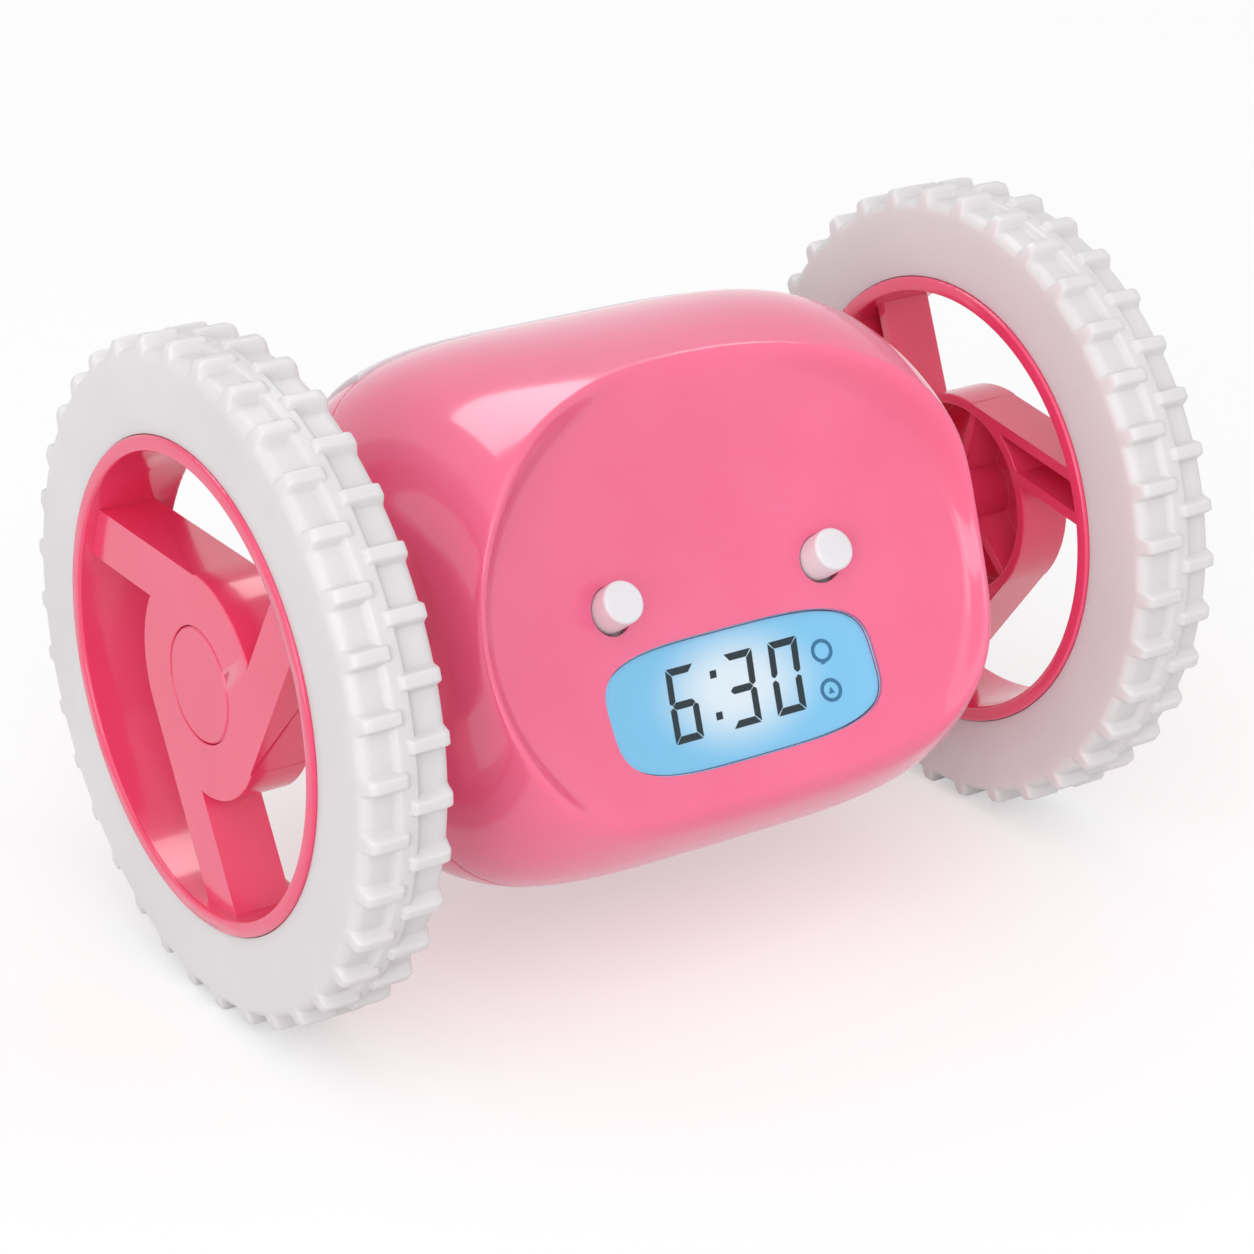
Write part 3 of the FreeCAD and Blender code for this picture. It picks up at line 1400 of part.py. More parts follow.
def gears():
    output = new_body("output_gear")
    gear_teeth(output, "output", S.output_teeth, OUTPUT_LOW, S.output_width)
    collar = new_sketch(output, "output_collar", "XY_Plane", OUTPUT_LOW - S.idler_width)
    add_circle(collar, S.shaft_radius + S.gear_collar_wall)
    output.Tip = pad(output, "output_collar_pad", collar, S.idler_width)
    bore(output, "output", S.shaft_radius)
    place_gear(output, (Formula.of(0), Formula.of(0)), DRIVE.output_turn)
    both_sides(output, "output_gear")

    idler = new_body("compound_gear")
    gear_teeth(idler, "idler_large", S.idler_teeth, IDLER_LOW, S.idler_width)
    gear_teeth(idler, "idler_small", S.idler_pinion_teeth, IDLER_MIDDLE, OUTPUT_TOP - IDLER_MIDDLE)
    bore(idler, "idler", S.pin_radius + S.shaft_clearance)
    place_gear(idler, DRIVE.idler, DRIVE.idler_turn)
    both_sides(idler, "compound_gear")

    pinion = new_body("motor_pinion")
    gear_teeth(pinion, "pinion", S.motor_pinion_teeth, IDLER_LOW, S.idler_width)
    bore(pinion, "pinion", S.motor_shaft_radius)
    place_gear(pinion, DRIVE.motor, DRIVE.motor_turn)
    both_sides(pinion, "motor_pinion")


def shafts():
    shaft = turned("output_shaft", [
        (0, S.shaft_inner_end),
        (S.shaft_radius - S.shaft_chamfer, S.shaft_inner_end),
        (S.shaft_radius, S.shaft_inner_end + S.shaft_chamfer),
        (S.shaft_radius, SHAFT_END),
        (S.screw_radius, SHAFT_END),
        (S.screw_radius, SHAFT_END - S.wheel_screw_bite),
        (0, SHAFT_END - S.wheel_screw_bite),
    ])
    place_gear(shaft, (Formula.of(0), Formula.of(0)), 0)
    both_sides(shaft, "output_shaft")
    pins = []
    for side in (-1, 1):
        start = S.cover_face if side > 0 else -PIN_END
        pins.append(cylinder("idler_pin_%d" % (side + 1), S.pin_radius, PIN_END - S.cover_face,
                             start, *DRIVE.idler))
    node(place_in_core(group("idler_pins", pins)), "idler_pins")


def gearboxes():
    """The cup that holds the train and the plate that closes it and carries the motor."""
    ears = [cylinder("ear_%d" % index, S.ear_radius, EAR_TOPS[index] - COVER_TOP, COVER_TOP,
                     *ear_centre(index)) for index in range(3)]
    cup = cylinder("cup_wall", CUP_RADIUS + S.housing_wall, FLOOR_TOP - COVER_TOP, COVER_TOP, *CUP_CENTRE)
    outside = fuse("cup_outside", [cup] + ears)
    room = cylinder("cup_room", CUP_RADIUS, FLOOR_LOW - COVER_TOP + 1, COVER_TOP - 1, *CUP_CENTRE)
    holes = [cylinder("cup_hole_%d" % index, S.screw_radius + S.screw_clearance, SPACE, COVER_TOP - 1,
                      *ear_centre(index)) for index in range(3)]
    holes.append(cylinder("cup_shaft_hole", S.shaft_radius + S.shaft_clearance, SPACE, COVER_TOP))
    holes.append(cylinder("cup_pin_hole", S.pin_radius, PIN_END - COVER_TOP, COVER_TOP, *DRIVE.idler))
    housing = cut("gearbox_housing", cut("cup_opened", outside, [room]), holes)
    both_sides(place_in_core(housing), "gearbox_housing")

    plate = cylinder("cover_disc", CUP_RADIUS + S.housing_wall, S.cover_thickness, S.cover_face, *CUP_CENTRE)
    lugs = [cylinder("cover_lug_%d" % index, S.ear_radius, S.cover_thickness, S.cover_face,
                     *ear_centre(index)) for index in range(3)]
    start = S.cover_face - 1
    ways = [cylinder("cover_hole_%d" % index, S.screw_radius + S.screw_clearance, SPACE, start,
                     *ear_centre(index)) for index in range(3)]
    ways.append(cylinder("cover_shaft_hole", S.shaft_radius + S.shaft_clearance, SPACE, start))
    ways.append(cylinder("cover_pin_hole", S.pin_radius, SPACE, start, *DRIVE.idler))
    ways.append(cylinder("cover_motor_hole", S.motor_nose_radius, SPACE, start, *DRIVE.motor))
    cover = cut("gearbox_cover", fuse("cover_plate", [plate] + lugs), ways)
    both_sides(place_in_core(cover), "gearbox_cover")


def motors():
    """A small flat-sided motor; its shaft turns inside with a running clearance."""
    rear, rise = DRIVE.motor
    back = S.cover_face - S.motor_length
    bore_start = back + S.motor_back_wall
    can = cylinder("motor_can", S.motor_radius, S.motor_length, back, rear, rise)
    flats = box("motor_flats", (S.motor_length, 2 * S.motor_radius, S.motor_flat),
                (back, rear - S.motor_radius, rise - S.motor_flat / 2))
    nose = cylinder("motor_nose", S.motor_nose_radius, S.cover_thickness, S.cover_face, rear, rise)
    tail = cylinder("motor_tail_disc", S.motor_nose_radius, S.motor_tail, back - S.motor_tail, rear, rise)
    solid = fuse("motor_solid", [common("motor_trimmed", can, flats), nose, tail])
    way = cylinder("motor_way", S.motor_shaft_radius + S.shaft_clearance, S.motor_length, bore_start,
                   rear, rise)
    motor = cut("motor", solid, [way])
    both_sides(place_in_core(motor), "motor")
    start = bore_start + S.motor_shaft_play
    spindle = cylinder("motor_shaft_rod", S.motor_shaft_radius, IDLER_MIDDLE - start, start, rear, rise)
    both_sides(place_in_core(group("motor_shaft", [spindle])), "motor_shaft")


def bushes():
    """Flanged bushes in the shells' side holes, one at each end of the axle line."""
    rings = []
    for side in (-1, 1):
        inner = FLOOR_TOP + S.bush_gap
        outer = END_FACE + S.bush_flange
        start = inner if side > 0 else -outer
        flange_start = END_FACE if side > 0 else -outer
        sleeve = cylinder("bush_sleeve_%d" % (side + 1), S.bush_radius, outer - inner, start)
        flange = cylinder("bush_flange_%d" % (side + 1), S.bush_flange_radius, S.bush_flange, flange_start)
        hole = cylinder("bush_bore_%d" % (side + 1), S.shaft_radius + S.shaft_clearance, SPACE,
                        -SPACE / 2 + side * SPACE / 4)
        body = fuse("bush_body_%d" % (side + 1), [sleeve, flange])
        rings.append(cut("bush_%d" % (side + 1), body, [hole]))
    node(place_in_core(group("axle_bushes", rings)), "axle_bushes")


# Fasteners

def screw(name, length, x, rear, rise, along):
    """A pan-head screw: its shank starts at the given point and runs along the given way."""
    shank = cylinder(name + "_shank", S.screw_radius, length, x, rear, rise, along)
    shift = {"x": (-1, 0, 0), "front": (0, 1, 0), "rear": (0, -1, 0), "rise": (0, 0, -1)}[along]
    head = cylinder(name + "_head", S.screw_head_radius, S.screw_head_height,
                    x + shift[0] * S.screw_head_height, rear + shift[1] * S.screw_head_height,
                    rise + shift[2] * S.screw_head_height, along)
    return fuse(name, [shank, head])


def fasteners():
    case = [screw("case_screw_%d" % index, CASE_SEATS[index] + S.case_screw_bite, x,
                  CASE_SEATS[index], rise, "front") for index, (x, rise) in enumerate(CASE_SCREWS)]
    node(place_in_core(group("case_screws", case)), "case_screws")
    board = [screw("board_screw_%d" % (side + 1), S.board_screw_bite, side * BOARD_SCREW_HALF,
                   BOARD_FRONT + S.board_thickness, BOARD_SCREW_RISES[0], "front") for side in (-1, 1)]
    node(place_in_core(group("board_screws", board)), "board_screws")
    mount_bite = S.gear_screw_bite - S.screw_end_gap
    bites = (mount_bite, mount_bite, -S.screw_end_gap)
    right = [screw("gear_screw_%d" % index, EAR_TOPS[index] - S.cover_face + bites[index],
                   S.cover_face, *ear_centre(index), "x") for index in range(3)]
    right_group = group("gear_screws_right", right)
    left_group = doc.addObject("Part::Mirroring", "gear_screws_left")
    left_group.Source = right_group
    left_group.Normal = X_AXIS
    node(place_in_core(group("gearbox_screws", [right_group, left_group])), "gearbox_screws")


def body_parts():
    outer = barrel("hull_barrel", Formula.of(0))
    hull = cut("hull", outer, [dish("face_dish", Formula.of(0))])
    inner = barrel("inner_barrel", -S.shell_wall)
    inside = cut("inside", inner, [dish("inner_dish", S.shell_wall)])
    skin_all = cut("hull_skin", hull, [inside])
    front_shell(hull, inside)
    rear_shell(hull, inside, skin_all)
    battery_door(skin_all)
    snooze_button(barrel("snooze_hull", S.snooze_proud))


def check_document():
    failed = [item.Name for item in doc.Objects if {"Invalid", "Error"} & set(item.State)]
    bad = [item.Label for item in NODES if item.Shape.isNull() or not item.Shape.isValid()]
    if failed or bad:
        raise RuntimeError("failed features %s, bad shapes %s" % (failed, bad))


def write_parts():
    os.makedirs("parts", exist_ok=True)
    for item in NODES:
        item.Shape.exportStep(os.path.join("parts", item.Label + ".step"))
        print("%-24s solids %d  volume %.1f" % (item.Label, len(item.Shape.Solids), item.Shape.Volume))


body_parts()
lcd_window()
display()
eye_buttons()
electronics()
speaker()
battery()
gears()
shafts()
gearboxes()
motors()
bushes()
fasteners()
for wheel_side, hub_turn, tyre_turn in (("left", Formula.of(0), S.left_tyre_turn),
                                        ("right", S.right_wheel_turn, S.right_tyre_turn)):
    hub(wheel_side, hub_turn)
    hub_cap(wheel_side, hub_turn)
    wheel_screw(wheel_side)
    tyre(wheel_side, tyre_turn)
doc.recompute()
check_document()
write_parts()
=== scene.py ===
"""The looks of the wheeled alarm clock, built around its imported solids.

Lengths are in millimetres until a mesh is made. The wheels use a wheel frame, whose third
axis runs outwards along the axle. The body uses a core frame: x, rear and rise, where rear and
rise lean back with the face and are measured from the axle.
"""

import json
import math

import bmesh
import bpy
import numpy as np
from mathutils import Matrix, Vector


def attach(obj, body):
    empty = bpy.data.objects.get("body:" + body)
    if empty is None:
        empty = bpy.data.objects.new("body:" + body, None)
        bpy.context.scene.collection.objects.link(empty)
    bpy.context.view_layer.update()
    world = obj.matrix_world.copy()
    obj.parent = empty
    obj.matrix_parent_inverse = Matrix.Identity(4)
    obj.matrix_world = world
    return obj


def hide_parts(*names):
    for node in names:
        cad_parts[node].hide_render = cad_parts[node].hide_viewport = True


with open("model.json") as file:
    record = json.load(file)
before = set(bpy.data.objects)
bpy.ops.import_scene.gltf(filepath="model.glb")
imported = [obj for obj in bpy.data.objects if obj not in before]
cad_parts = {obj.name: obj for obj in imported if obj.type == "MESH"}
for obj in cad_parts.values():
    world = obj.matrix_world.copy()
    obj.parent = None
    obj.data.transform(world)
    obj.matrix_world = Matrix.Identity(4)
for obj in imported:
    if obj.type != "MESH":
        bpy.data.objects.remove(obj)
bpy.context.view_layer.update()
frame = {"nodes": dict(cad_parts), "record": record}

MM = 0.001
AXLE_HEIGHT = 44.5
FACE_TILT = math.radians(29.0)
SIDES = (("left", -1), ("right", 1))

# camera, as in the photograph: azimuth from the front, elevation, place, lens and sensor width
CAMERA_AZIMUTH = math.radians(-34.05)
CAMERA_ELEVATION = math.radians(22.47)
CAMERA_PLACE = (-249.8, -369.7, 222.0)
CAMERA_LENS = 102.5
SENSOR = 36.0

# body, a barrel: half its length, its flat ends, and how squarely it is rounded towards them
HALF_LENGTH = 40.6
CAP_FACE = 40.19
END_POWER = 4.6
# the barrel's oval section: its lean, its half axes, and its centre as rear and rise
SECTION_TILT = math.radians(23.0)
SECTION_LONG = 40.2
SECTION_SHORT = 36.3
SECTION_CENTRE = (-0.6, -0.5)
WALL = 2.0
AXLE_HOLE = 4.75
# the hollow of the face: an ellipsoid in front of it, its centre as rear and rise
DISH_CENTRE = (-79.8, -17.0)
DISH_RADII = (97.0, 60.0, 80.0)
# the oval that bounds the hollow at BROW_REAR, and the slope of its side wall
BROW_HALF = (36.3, 30.8)
BROW_RISE = -9.0
BROW_REAR = -17.8
BROW_DRAFT = math.radians(15.0)
# how softly the wall runs into the floor of the hollow, and into the barrel
FLOOR_BLEND = 7.0
RIM_BLEND = 4.6
# the parting line: half its gap, and how much of the wall its edge dips
SEAM = 0.06
SEAM_DIP = 0.12
# the skin's mesh
SKIN_ROWS = 180
SKIN_COLUMNS = 240
END_RINGS = 8
FINE_STATIONS = 20001

# how far edges are rounded: shells and hubs, small parts, and the snooze bar and window
SHELL_ROUND = 0.22
SMALL_ROUND = 0.2
SOFT_ROUND = 0.3

# copies of the solids' meshes: points closer than the gap are merged, and angles are in degrees
MERGE_GAP = 0.002
FLAT_ANGLE = 0.5
SHARP_ANGLE = 50.0
SMOOTH_ANGLE = 28.0

# snooze bar: half its length, its front and rear edges, how far it stands out, its thickness
SNOOZE_HALF = 31.0
SNOOZE_REAR = (0.3, 16.0)
SNOOZE_PROUD = 0.5
SNOOZE_SKIN = 1.8
SNOOZE_ROWS = 90
SNOOZE_COLUMNS = 40
# below it: the plunger's radius, the legs' size and place, and where they start and end
SNOOZE_PLUNGER = 3.0
SNOOZE_LEG = (1.6, 6.0)
SNOOZE_LEG_X = 25.0
POST_SINK = 0.5
PLUNGER_END = 33.05
LEG_END = 28.75

# display: the window's half size, its outline, its place, and the cut for it in the face
WINDOW_HALF = (20.9, 8.5)
WINDOW_SQUARENESS = 3.6
OUTLINE_STEPS = 120
WINDOW_RISE = -19.05
WINDOW_FRONT = -19.75
WINDOW_GAP = 0.15
WINDOW_CUT = (-30.0, -5.0)
# how far the pane and the display's ground lie behind the face, and the size of the ground's whitish patch
# of painted light
PANE_SINK = 0.08
PANE_THICKNESS = 0.9
GROUND_OVERLAP = 0.1
GROUND_SINK = 1.1
GROUND_THICKNESS = 0.4
PAINTED_GLOW_HALF = (15.5, 15.0, 9.0)
# digits, the dots between them, and the two round marks: places are x, rise and, for hands, size
DIGIT_HEIGHT = 9.7
DIGIT_WIDTH = 4.5
DIGIT_STROKE = 0.95
DIGIT_GAP = 0.14
SEGMENT_TIP = 0.3
DIGIT_SLANT = 0.155
DIGIT_MIDDLE = -18.6
DIGIT_LEFTS = (("6", -11.4), ("3", -2.1), ("0", 4.95))
DOT_LEFT = -4.55
DOT_RISES = (2.2, 7.6)
DOT_SIZE = 1.0
DOT_LEAN = 0.15
MARK_RINGS = ((14.1, -16.6), (13.8, -21.9))
MARK_RADIUS = 1.6
MARK_STROKE = 0.5
MARK_HANDS = ((13.8, -18.0, 0.35), (13.8, -21.9, 0.45))
PLATE_THICKNESS = 0.05
PLATE_GAP = 0.01
DIGITS = {
    "6": ("top", "middle", "bottom", "upper_left", "lower_left", "lower_right"),
    "3": ("top", "middle", "bottom", "upper_right", "lower_right"),
    "0": ("top", "bottom", "upper_left", "lower_left", "upper_right", "lower_right"),
}

# eye buttons: their place in the face as x, and as rear and rise; lengths run along their axis
EYE_X = 16.6
EYE_PLACE = (-21.4, -4.6)
EYE_TILT = math.radians(35.0)
EYE_RADIUS = 2.9
EYE_PROUD = 3.8
EYE_EDGE = 0.5
EYE_HOLE = 3.2
EYE_HOLE_DROP = 0.22
EYE_CUT = (-12.0, 8.0)
EYE_FLANGE = (-3.15, -4.15)
EYE_FLANGE_RADIUS = 4.1
EYE_STEM_RADIUS = 1.4
EYE_STEM_END = -5.6

# wheels: the faces of the tyre and hub along the axle, and the hub's lips that hold the tyre
TYRE_FACES = (53.7, 65.9)
HUB_FACES = (53.2, 66.4)
LIP_RADIUS = 32.2
LIP_WIDTH = 1.5
LIP_PLAY = 0.1
SEAT_RADIUS = 31.6
RING_SOLID = (29.4, 33.0)
RING_SHOWN = (30.1, 32.2)
RING_MARGIN = 0.05
HUB_ROUND_REACH = 29.0
# the tyre's section: plain, on the centre rib and on the bars, and how its outline is divided
BASE_RADIUS = 42.9
RIB_RADIUS = 43.8
TIP_RADIUS = AXLE_HEIGHT
SHOULDER = 1.6
SIDE_START = 0.5
SIDE_POINTS = 6
SHOULDER_POINTS = 8
CROWN_POINTS = 34
CROWN_MARGIN = 0.05
# the tread: its rib, and its bars with their slopes; marks are distances from a bar's middle
RIB_MIDDLE = 60.0
RIB_WIDTH = 2.8
RIB_FOOT = 0.3
RIB_SLOPE = 0.55
BAR_COUNT = 36
BAR_HALF = 1.5
BAR_SLOPE = 0.85
BAR_MARKS = (0, 0.35, 0.62, 0.78, 0.92, 1.06, 1.2, 1.34, 1.48, 1.6)
BAR_END_GAP = 0.15
BAR_START = (0.3, 0.8)
BAR_END = (0.25, 0.75)
# how far each tyre is turned, in degrees
TYRE_TURN = {"left": 3.5, "right": 6.5}

# colours and surfaces; a scatter is how far light spreads below a surface, in metres
PINK_DARK, PINK_LIGHT = (0.88, 0.135, 0.27), (0.91, 0.155, 0.295)
HUB_DARK, HUB_LIGHT = (0.81, 0.05, 0.145), (0.84, 0.063, 0.165)
WHITE_DARK, WHITE_LIGHT = (0.69, 0.67, 0.675), (0.73, 0.71, 0.715)
# the display's ground: the whitish patch of painted light in its middle, its own blue, and where the patch
# starts to fade
PAINTED_GLOW_COLOUR = (0.70, 0.74, 0.78, 1)
GROUND_COLOUR = (0.20, 0.50, 0.72, 1)
PAINTED_GLOW_START = 0.2
# how strongly the display's ground glows with painted light, though it is no lamp
DISPLAY_PAINTED_GLOW = 0.33
PANE_TINT = (0.96, 0.98, 0.99, 1)
PANE_ROUGHNESS = 0.06
PANE_IOR = 1.22
# a moulding's uneven colour and gloss: sizes of noise, shares of the roughness, and its skin
PATCHES = 45.0
GLOSS_PATCHES = 120.0
GLOSS_SHARES = (0.93, 1.07)
GRAIN_STRENGTH = 0.25
PINK_SCATTER = (0.004, 0.0012, 0.0012)
TYRE_SCATTER = (0.004, 0.0034, 0.0034)
BUTTON_SCATTER = (0.002, 0.002, 0.002)

# studio, in metres: the floor, how it bounces light and how it is seen, and the world
FLOOR_HALF = 4.0
FLOOR_BOUNCE = 0.75
FLOOR_SEEN = 0.61
FLOOR_GLOW = 0.43
WORLD_LIGHT = 0.72
BACKDROP = 0.985
STUDIO_MIDDLE = (0, 0, 0.045)


# Places

def core(x, rear, rise):
    """A point, or arrays of points, of the core frame in the row frame, in metres."""
    y = rear * math.cos(FACE_TILT) + rise * math.sin(FACE_TILT)
    z = AXLE_HEIGHT - rear * math.sin(FACE_TILT) + rise * math.cos(FACE_TILT)
    return np.stack(np.broadcast_arrays(x, y, z), axis=-1) * MM


def wheel(side, across, up, out):
    """A point of a wheel seen from outside: across to the right, up, and out along the axle."""
    return np.stack(np.broadcast_arrays(side * out, side * across, AXLE_HEIGHT + up), axis=-1) * MM


# Meshes

def make_mesh(name, points, faces):
    """A new object from points in metres and faces as lists of their numbers."""
    mesh = bpy.data.meshes.new(name)
    mesh.from_pydata([tuple(p) for p in points], [], faces)
    mesh.validate()
    item = bpy.data.objects.new(name, mesh)
    bpy.context.scene.collection.objects.link(item)
    return item


def outward(item):
    """Point every face of a closed mesh outwards."""
    bm = bmesh.new()
    bm.from_mesh(item.data)
    bmesh.ops.recalc_face_normals(bm, faces=bm.faces)
    bm.to_mesh(item.data)
    bm.free()


def smooth(item, angle):
    """Shade smoothly over every edge that is flatter than an angle in degrees."""
    item.data.shade_smooth()
    item.data.set_sharp_from_angle(angle=math.radians(angle))


def finish_piece(item, material, body, replaced=()):
    """Give a piece its material and body, and hide the solids it stands for."""
    item.data.materials.clear()
    item.data.materials.append(material)
    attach(item, body)
    if replaced:
        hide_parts(*replaced)
    return item


def grid_faces(rows, columns, wrap_rows=False, wrap_columns=False):
    """Quads of a grid of points stored row by row."""
    last_row = rows if wrap_rows else rows - 1
    last_column = columns if wrap_columns else columns - 1
    r, c = np.meshgrid(np.arange(last_row), np.arange(last_column), indexing="ij")
    below = (r + 1) % rows
    beside = (c + 1) % columns
    quads = np.stack([r * columns + c, r * columns + beside, below * columns + beside,
                      below * columns + c], axis=-1)
    return quads.reshape(-1, 4).tolist()


def folded_faces(rows, count):
    """Faces of a skin whose rows run along its outside and back along its inside."""
    faces = grid_faces(rows, count, wrap_columns=True)
    for start in (0, (rows - 1) * count):
        faces += [[start + c, start + c + 1, start + count - 2 - c, start + count - 1 - c]
                  for c in range(count // 2 - 1)]
    return faces


def apply_modifiers(item):
    """Turn an object's modifiers into mesh."""
    graph = bpy.context.evaluated_depsgraph_get()
    done = bpy.data.meshes.new_from_object(item.evaluated_get(graph))
    old = item.data
    item.modifiers.clear()
    item.data = done
    bpy.data.meshes.remove(old)


def carve(item, cutters, operation="DIFFERENCE"):
    """Cut each cutter out of a closed mesh, or join it on, and remove the cutters."""
    for cutter in cutters:
        outward(cutter)
        tool = item.modifiers.new(cutter.name, "BOOLEAN")
        tool.operation = operation
        tool.solver = "EXACT"
        tool.object = cutter
    apply_modifiers(item)
    for cutter in cutters:
        bpy.data.objects.remove(cutter)


def bevel(item, width, segments, by="ANGLE"):
    """Round the sharp edges, or those with a weight."""
    rounded = item.modifiers.new("rounded", "BEVEL")
    rounded.width = width * MM
    rounded.segments = segments
    rounded.limit_method = by
    rounded.angle_limit = math.radians(30)
    rounded.use_clamp_overlap = False
    rounded.harden_normals = True


def lathe(name, profile, origin, axis, steps=64):
    """A turned piece: a profile of (radius, height) round an axis through origin, in metres."""
    axis = Vector(axis).normalized()
    side = axis.orthogonal().normalized()
    other = axis.cross(side)
    points = []
    for radius, height in profile:
        for step in range(steps):
            turn = 2 * math.pi * step / steps
            points.append(Vector(origin) + (side * math.cos(turn) + other * math.sin(turn)) * radius * MM
                          + axis * height * MM)
    faces = grid_faces(len(profile), steps, wrap_columns=True)
    faces.append(list(range(steps)))
    faces.append([len(points) - 1 - step for step in range(steps)])
    item = make_mesh(name, points, faces)
    outward(item)
    return item


def rounded_profile(radius, top, bottom, edge, steps=5):
    """A rod's profile with a rounded top edge, from a small ring in its top to its bottom."""
    profile = [(radius * 0.3, top), (radius - edge, top)]
    for step in range(1, steps + 1):
        turn = math.pi / 2 * step / steps
        profile.append((radius - edge + edge * math.sin(turn), top - edge + edge * math.cos(turn)))
    profile.append((radius, bottom))
    return profile


def refined(node, material, body, width, reach=None, reshape=None):
    """A copy of a solid's mesh with its flat faces joined and its sharp edges rounded.

    With a reach, only the edges within that radius of the axle are rounded. Before that,
    reshape() may move a corner.
    """
    bm = bmesh.new()
    bm.from_mesh(frame["nodes"][node].data)
    if reshape:
        for corner in bm.verts:
            reshape(corner)
    bmesh.ops.remove_doubles(bm, verts=bm.verts, dist=MERGE_GAP * MM)
    bmesh.ops.dissolve_limit(bm, angle_limit=math.radians(FLAT_ANGLE), verts=bm.verts, edges=bm.edges)
    weights = bm.edges.layers.float.new("bevel_weight_edge")
    for edge in bm.edges:
        far = max(math.hypot(v.co.y, v.co.z - AXLE_HEIGHT * MM) for v in edge.verts)
        sharp = edge.is_manifold and edge.calc_face_angle() > math.radians(SHARP_ANGLE)
        if sharp and edge.calc_length() > 2 * width * MM and (reach is None or far < reach * MM):
            edge[weights] = 1.0
    mesh = bpy.data.meshes.new(node + "_looks")
    bm.to_mesh(mesh)
    bm.free()
    item = bpy.data.objects.new(node + "_looks", mesh)
    bpy.context.scene.collection.objects.link(item)
    smooth(item, SMOOTH_ANGLE)
    bevel(item, width, 2, by="WEIGHT")
    return finish_piece(item, material, body, [node])


# Materials

def new_material(name, **values):
    """A shader with values set on its own sockets; returns the material and its node tree."""
    material = bpy.data.materials.new(name)
    material.use_nodes = True
    tree = material.node_tree
    shader = tree.nodes["Principled BSDF"]
    for socket, value in values.items():
        shader.inputs[socket.replace("_", " ")].default_value = value
    return material, tree, shader


def add_noise(tree, scale, detail=2.0):
    """Noise fixed to the object."""
    place = tree.nodes.new("ShaderNodeTexCoord")
    noise = tree.nodes.new("ShaderNodeTexNoise")
    noise.inputs["Scale"].default_value = scale
    noise.inputs["Detail"].default_value = detail
    tree.links.new(place.outputs["Object"], noise.inputs["Vector"])
    return noise


def spread(tree, source, low, high):
    """Map a 0 to 1 value to a range."""
    span = tree.nodes.new("ShaderNodeMapRange")
    span.inputs["To Min"].default_value = low
    span.inputs["To Max"].default_value = high
    tree.links.new(source, span.inputs["Value"])
    return span.outputs["Result"]


def mottle(tree, shader, noise, dark, light):
    """Slight, soft changes of colour across a moulding."""
    ramp = tree.nodes.new("ShaderNodeValToRGB")
    ramp.color_ramp.elements[0].position = 0.35
    ramp.color_ramp.elements[0].color = (*dark, 1)
    ramp.color_ramp.elements[1].position = 0.65
    ramp.color_ramp.elements[1].color = (*light, 1)
    tree.links.new(noise.outputs["Fac"], ramp.inputs["Fac"])
    tree.links.new(ramp.outputs["Color"], shader.inputs["Base Color"])


def add_bump(tree, shader, noise, strength, depth):
    """A fine skin, as deep as a depth in mm."""
    bump = tree.nodes.new("ShaderNodeBump")
    bump.inputs["Strength"].default_value = strength
    bump.inputs["Distance"].default_value = depth * MM
    tree.links.new(noise.outputs["Fac"], bump.inputs["Height"])
    tree.links.new(bump.outputs["Normal"], shader.inputs["Normal"])


def moulded(name, dark, light, roughness, grain=900.0, grain_depth=0.01, **values):
    """A moulded plastic: slightly uneven colour and gloss, with a fine skin."""
    material, tree, shader = new_material(name, **values)
    mottle(tree, shader, add_noise(tree, PATCHES), dark, light)
    low, high = [roughness * share for share in GLOSS_SHARES]
    gloss = spread(tree, add_noise(tree, GLOSS_PATCHES, 3.0).outputs["Fac"], low, high)
    tree.links.new(gloss, shader.inputs["Roughness"])
    add_bump(tree, shader, add_noise(tree, grain, 3.0), GRAIN_STRENGTH, grain_depth)
    return material


def metal(name, colour, roughness):
    """A plain metal with a fine grain."""
    dark = tuple(part * 0.9 for part in colour)
    return moulded(name, dark, colour, roughness, grain=2500.0, grain_depth=0.004, Metallic=1.0)


def window_material():
    """Clear plastic: it lets light through and mirrors the studio."""
    material = bpy.data.materials.new("clear_window")
    material.use_nodes = True
    tree = material.node_tree
    tree.nodes.remove(tree.nodes["Principled BSDF"])
    clear = tree.nodes.new("ShaderNodeBsdfTransparent")
    clear.inputs["Color"].default_value = PANE_TINT
    gloss = tree.nodes.new("ShaderNodeBsdfGlossy")
    gloss.inputs["Roughness"].default_value = PANE_ROUGHNESS
    fresnel = tree.nodes.new("ShaderNodeFresnel")
    fresnel.inputs["IOR"].default_value = PANE_IOR
    mix = tree.nodes.new("ShaderNodeMixShader")
    tree.links.new(fresnel.outputs["Fac"], mix.inputs["Fac"])
    tree.links.new(clear.outputs["BSDF"], mix.inputs[1])
    tree.links.new(gloss.outputs["BSDF"], mix.inputs[2])
    tree.links.new(mix.outputs["Shader"], tree.nodes["Material Output"].inputs["Surface"])
    return material


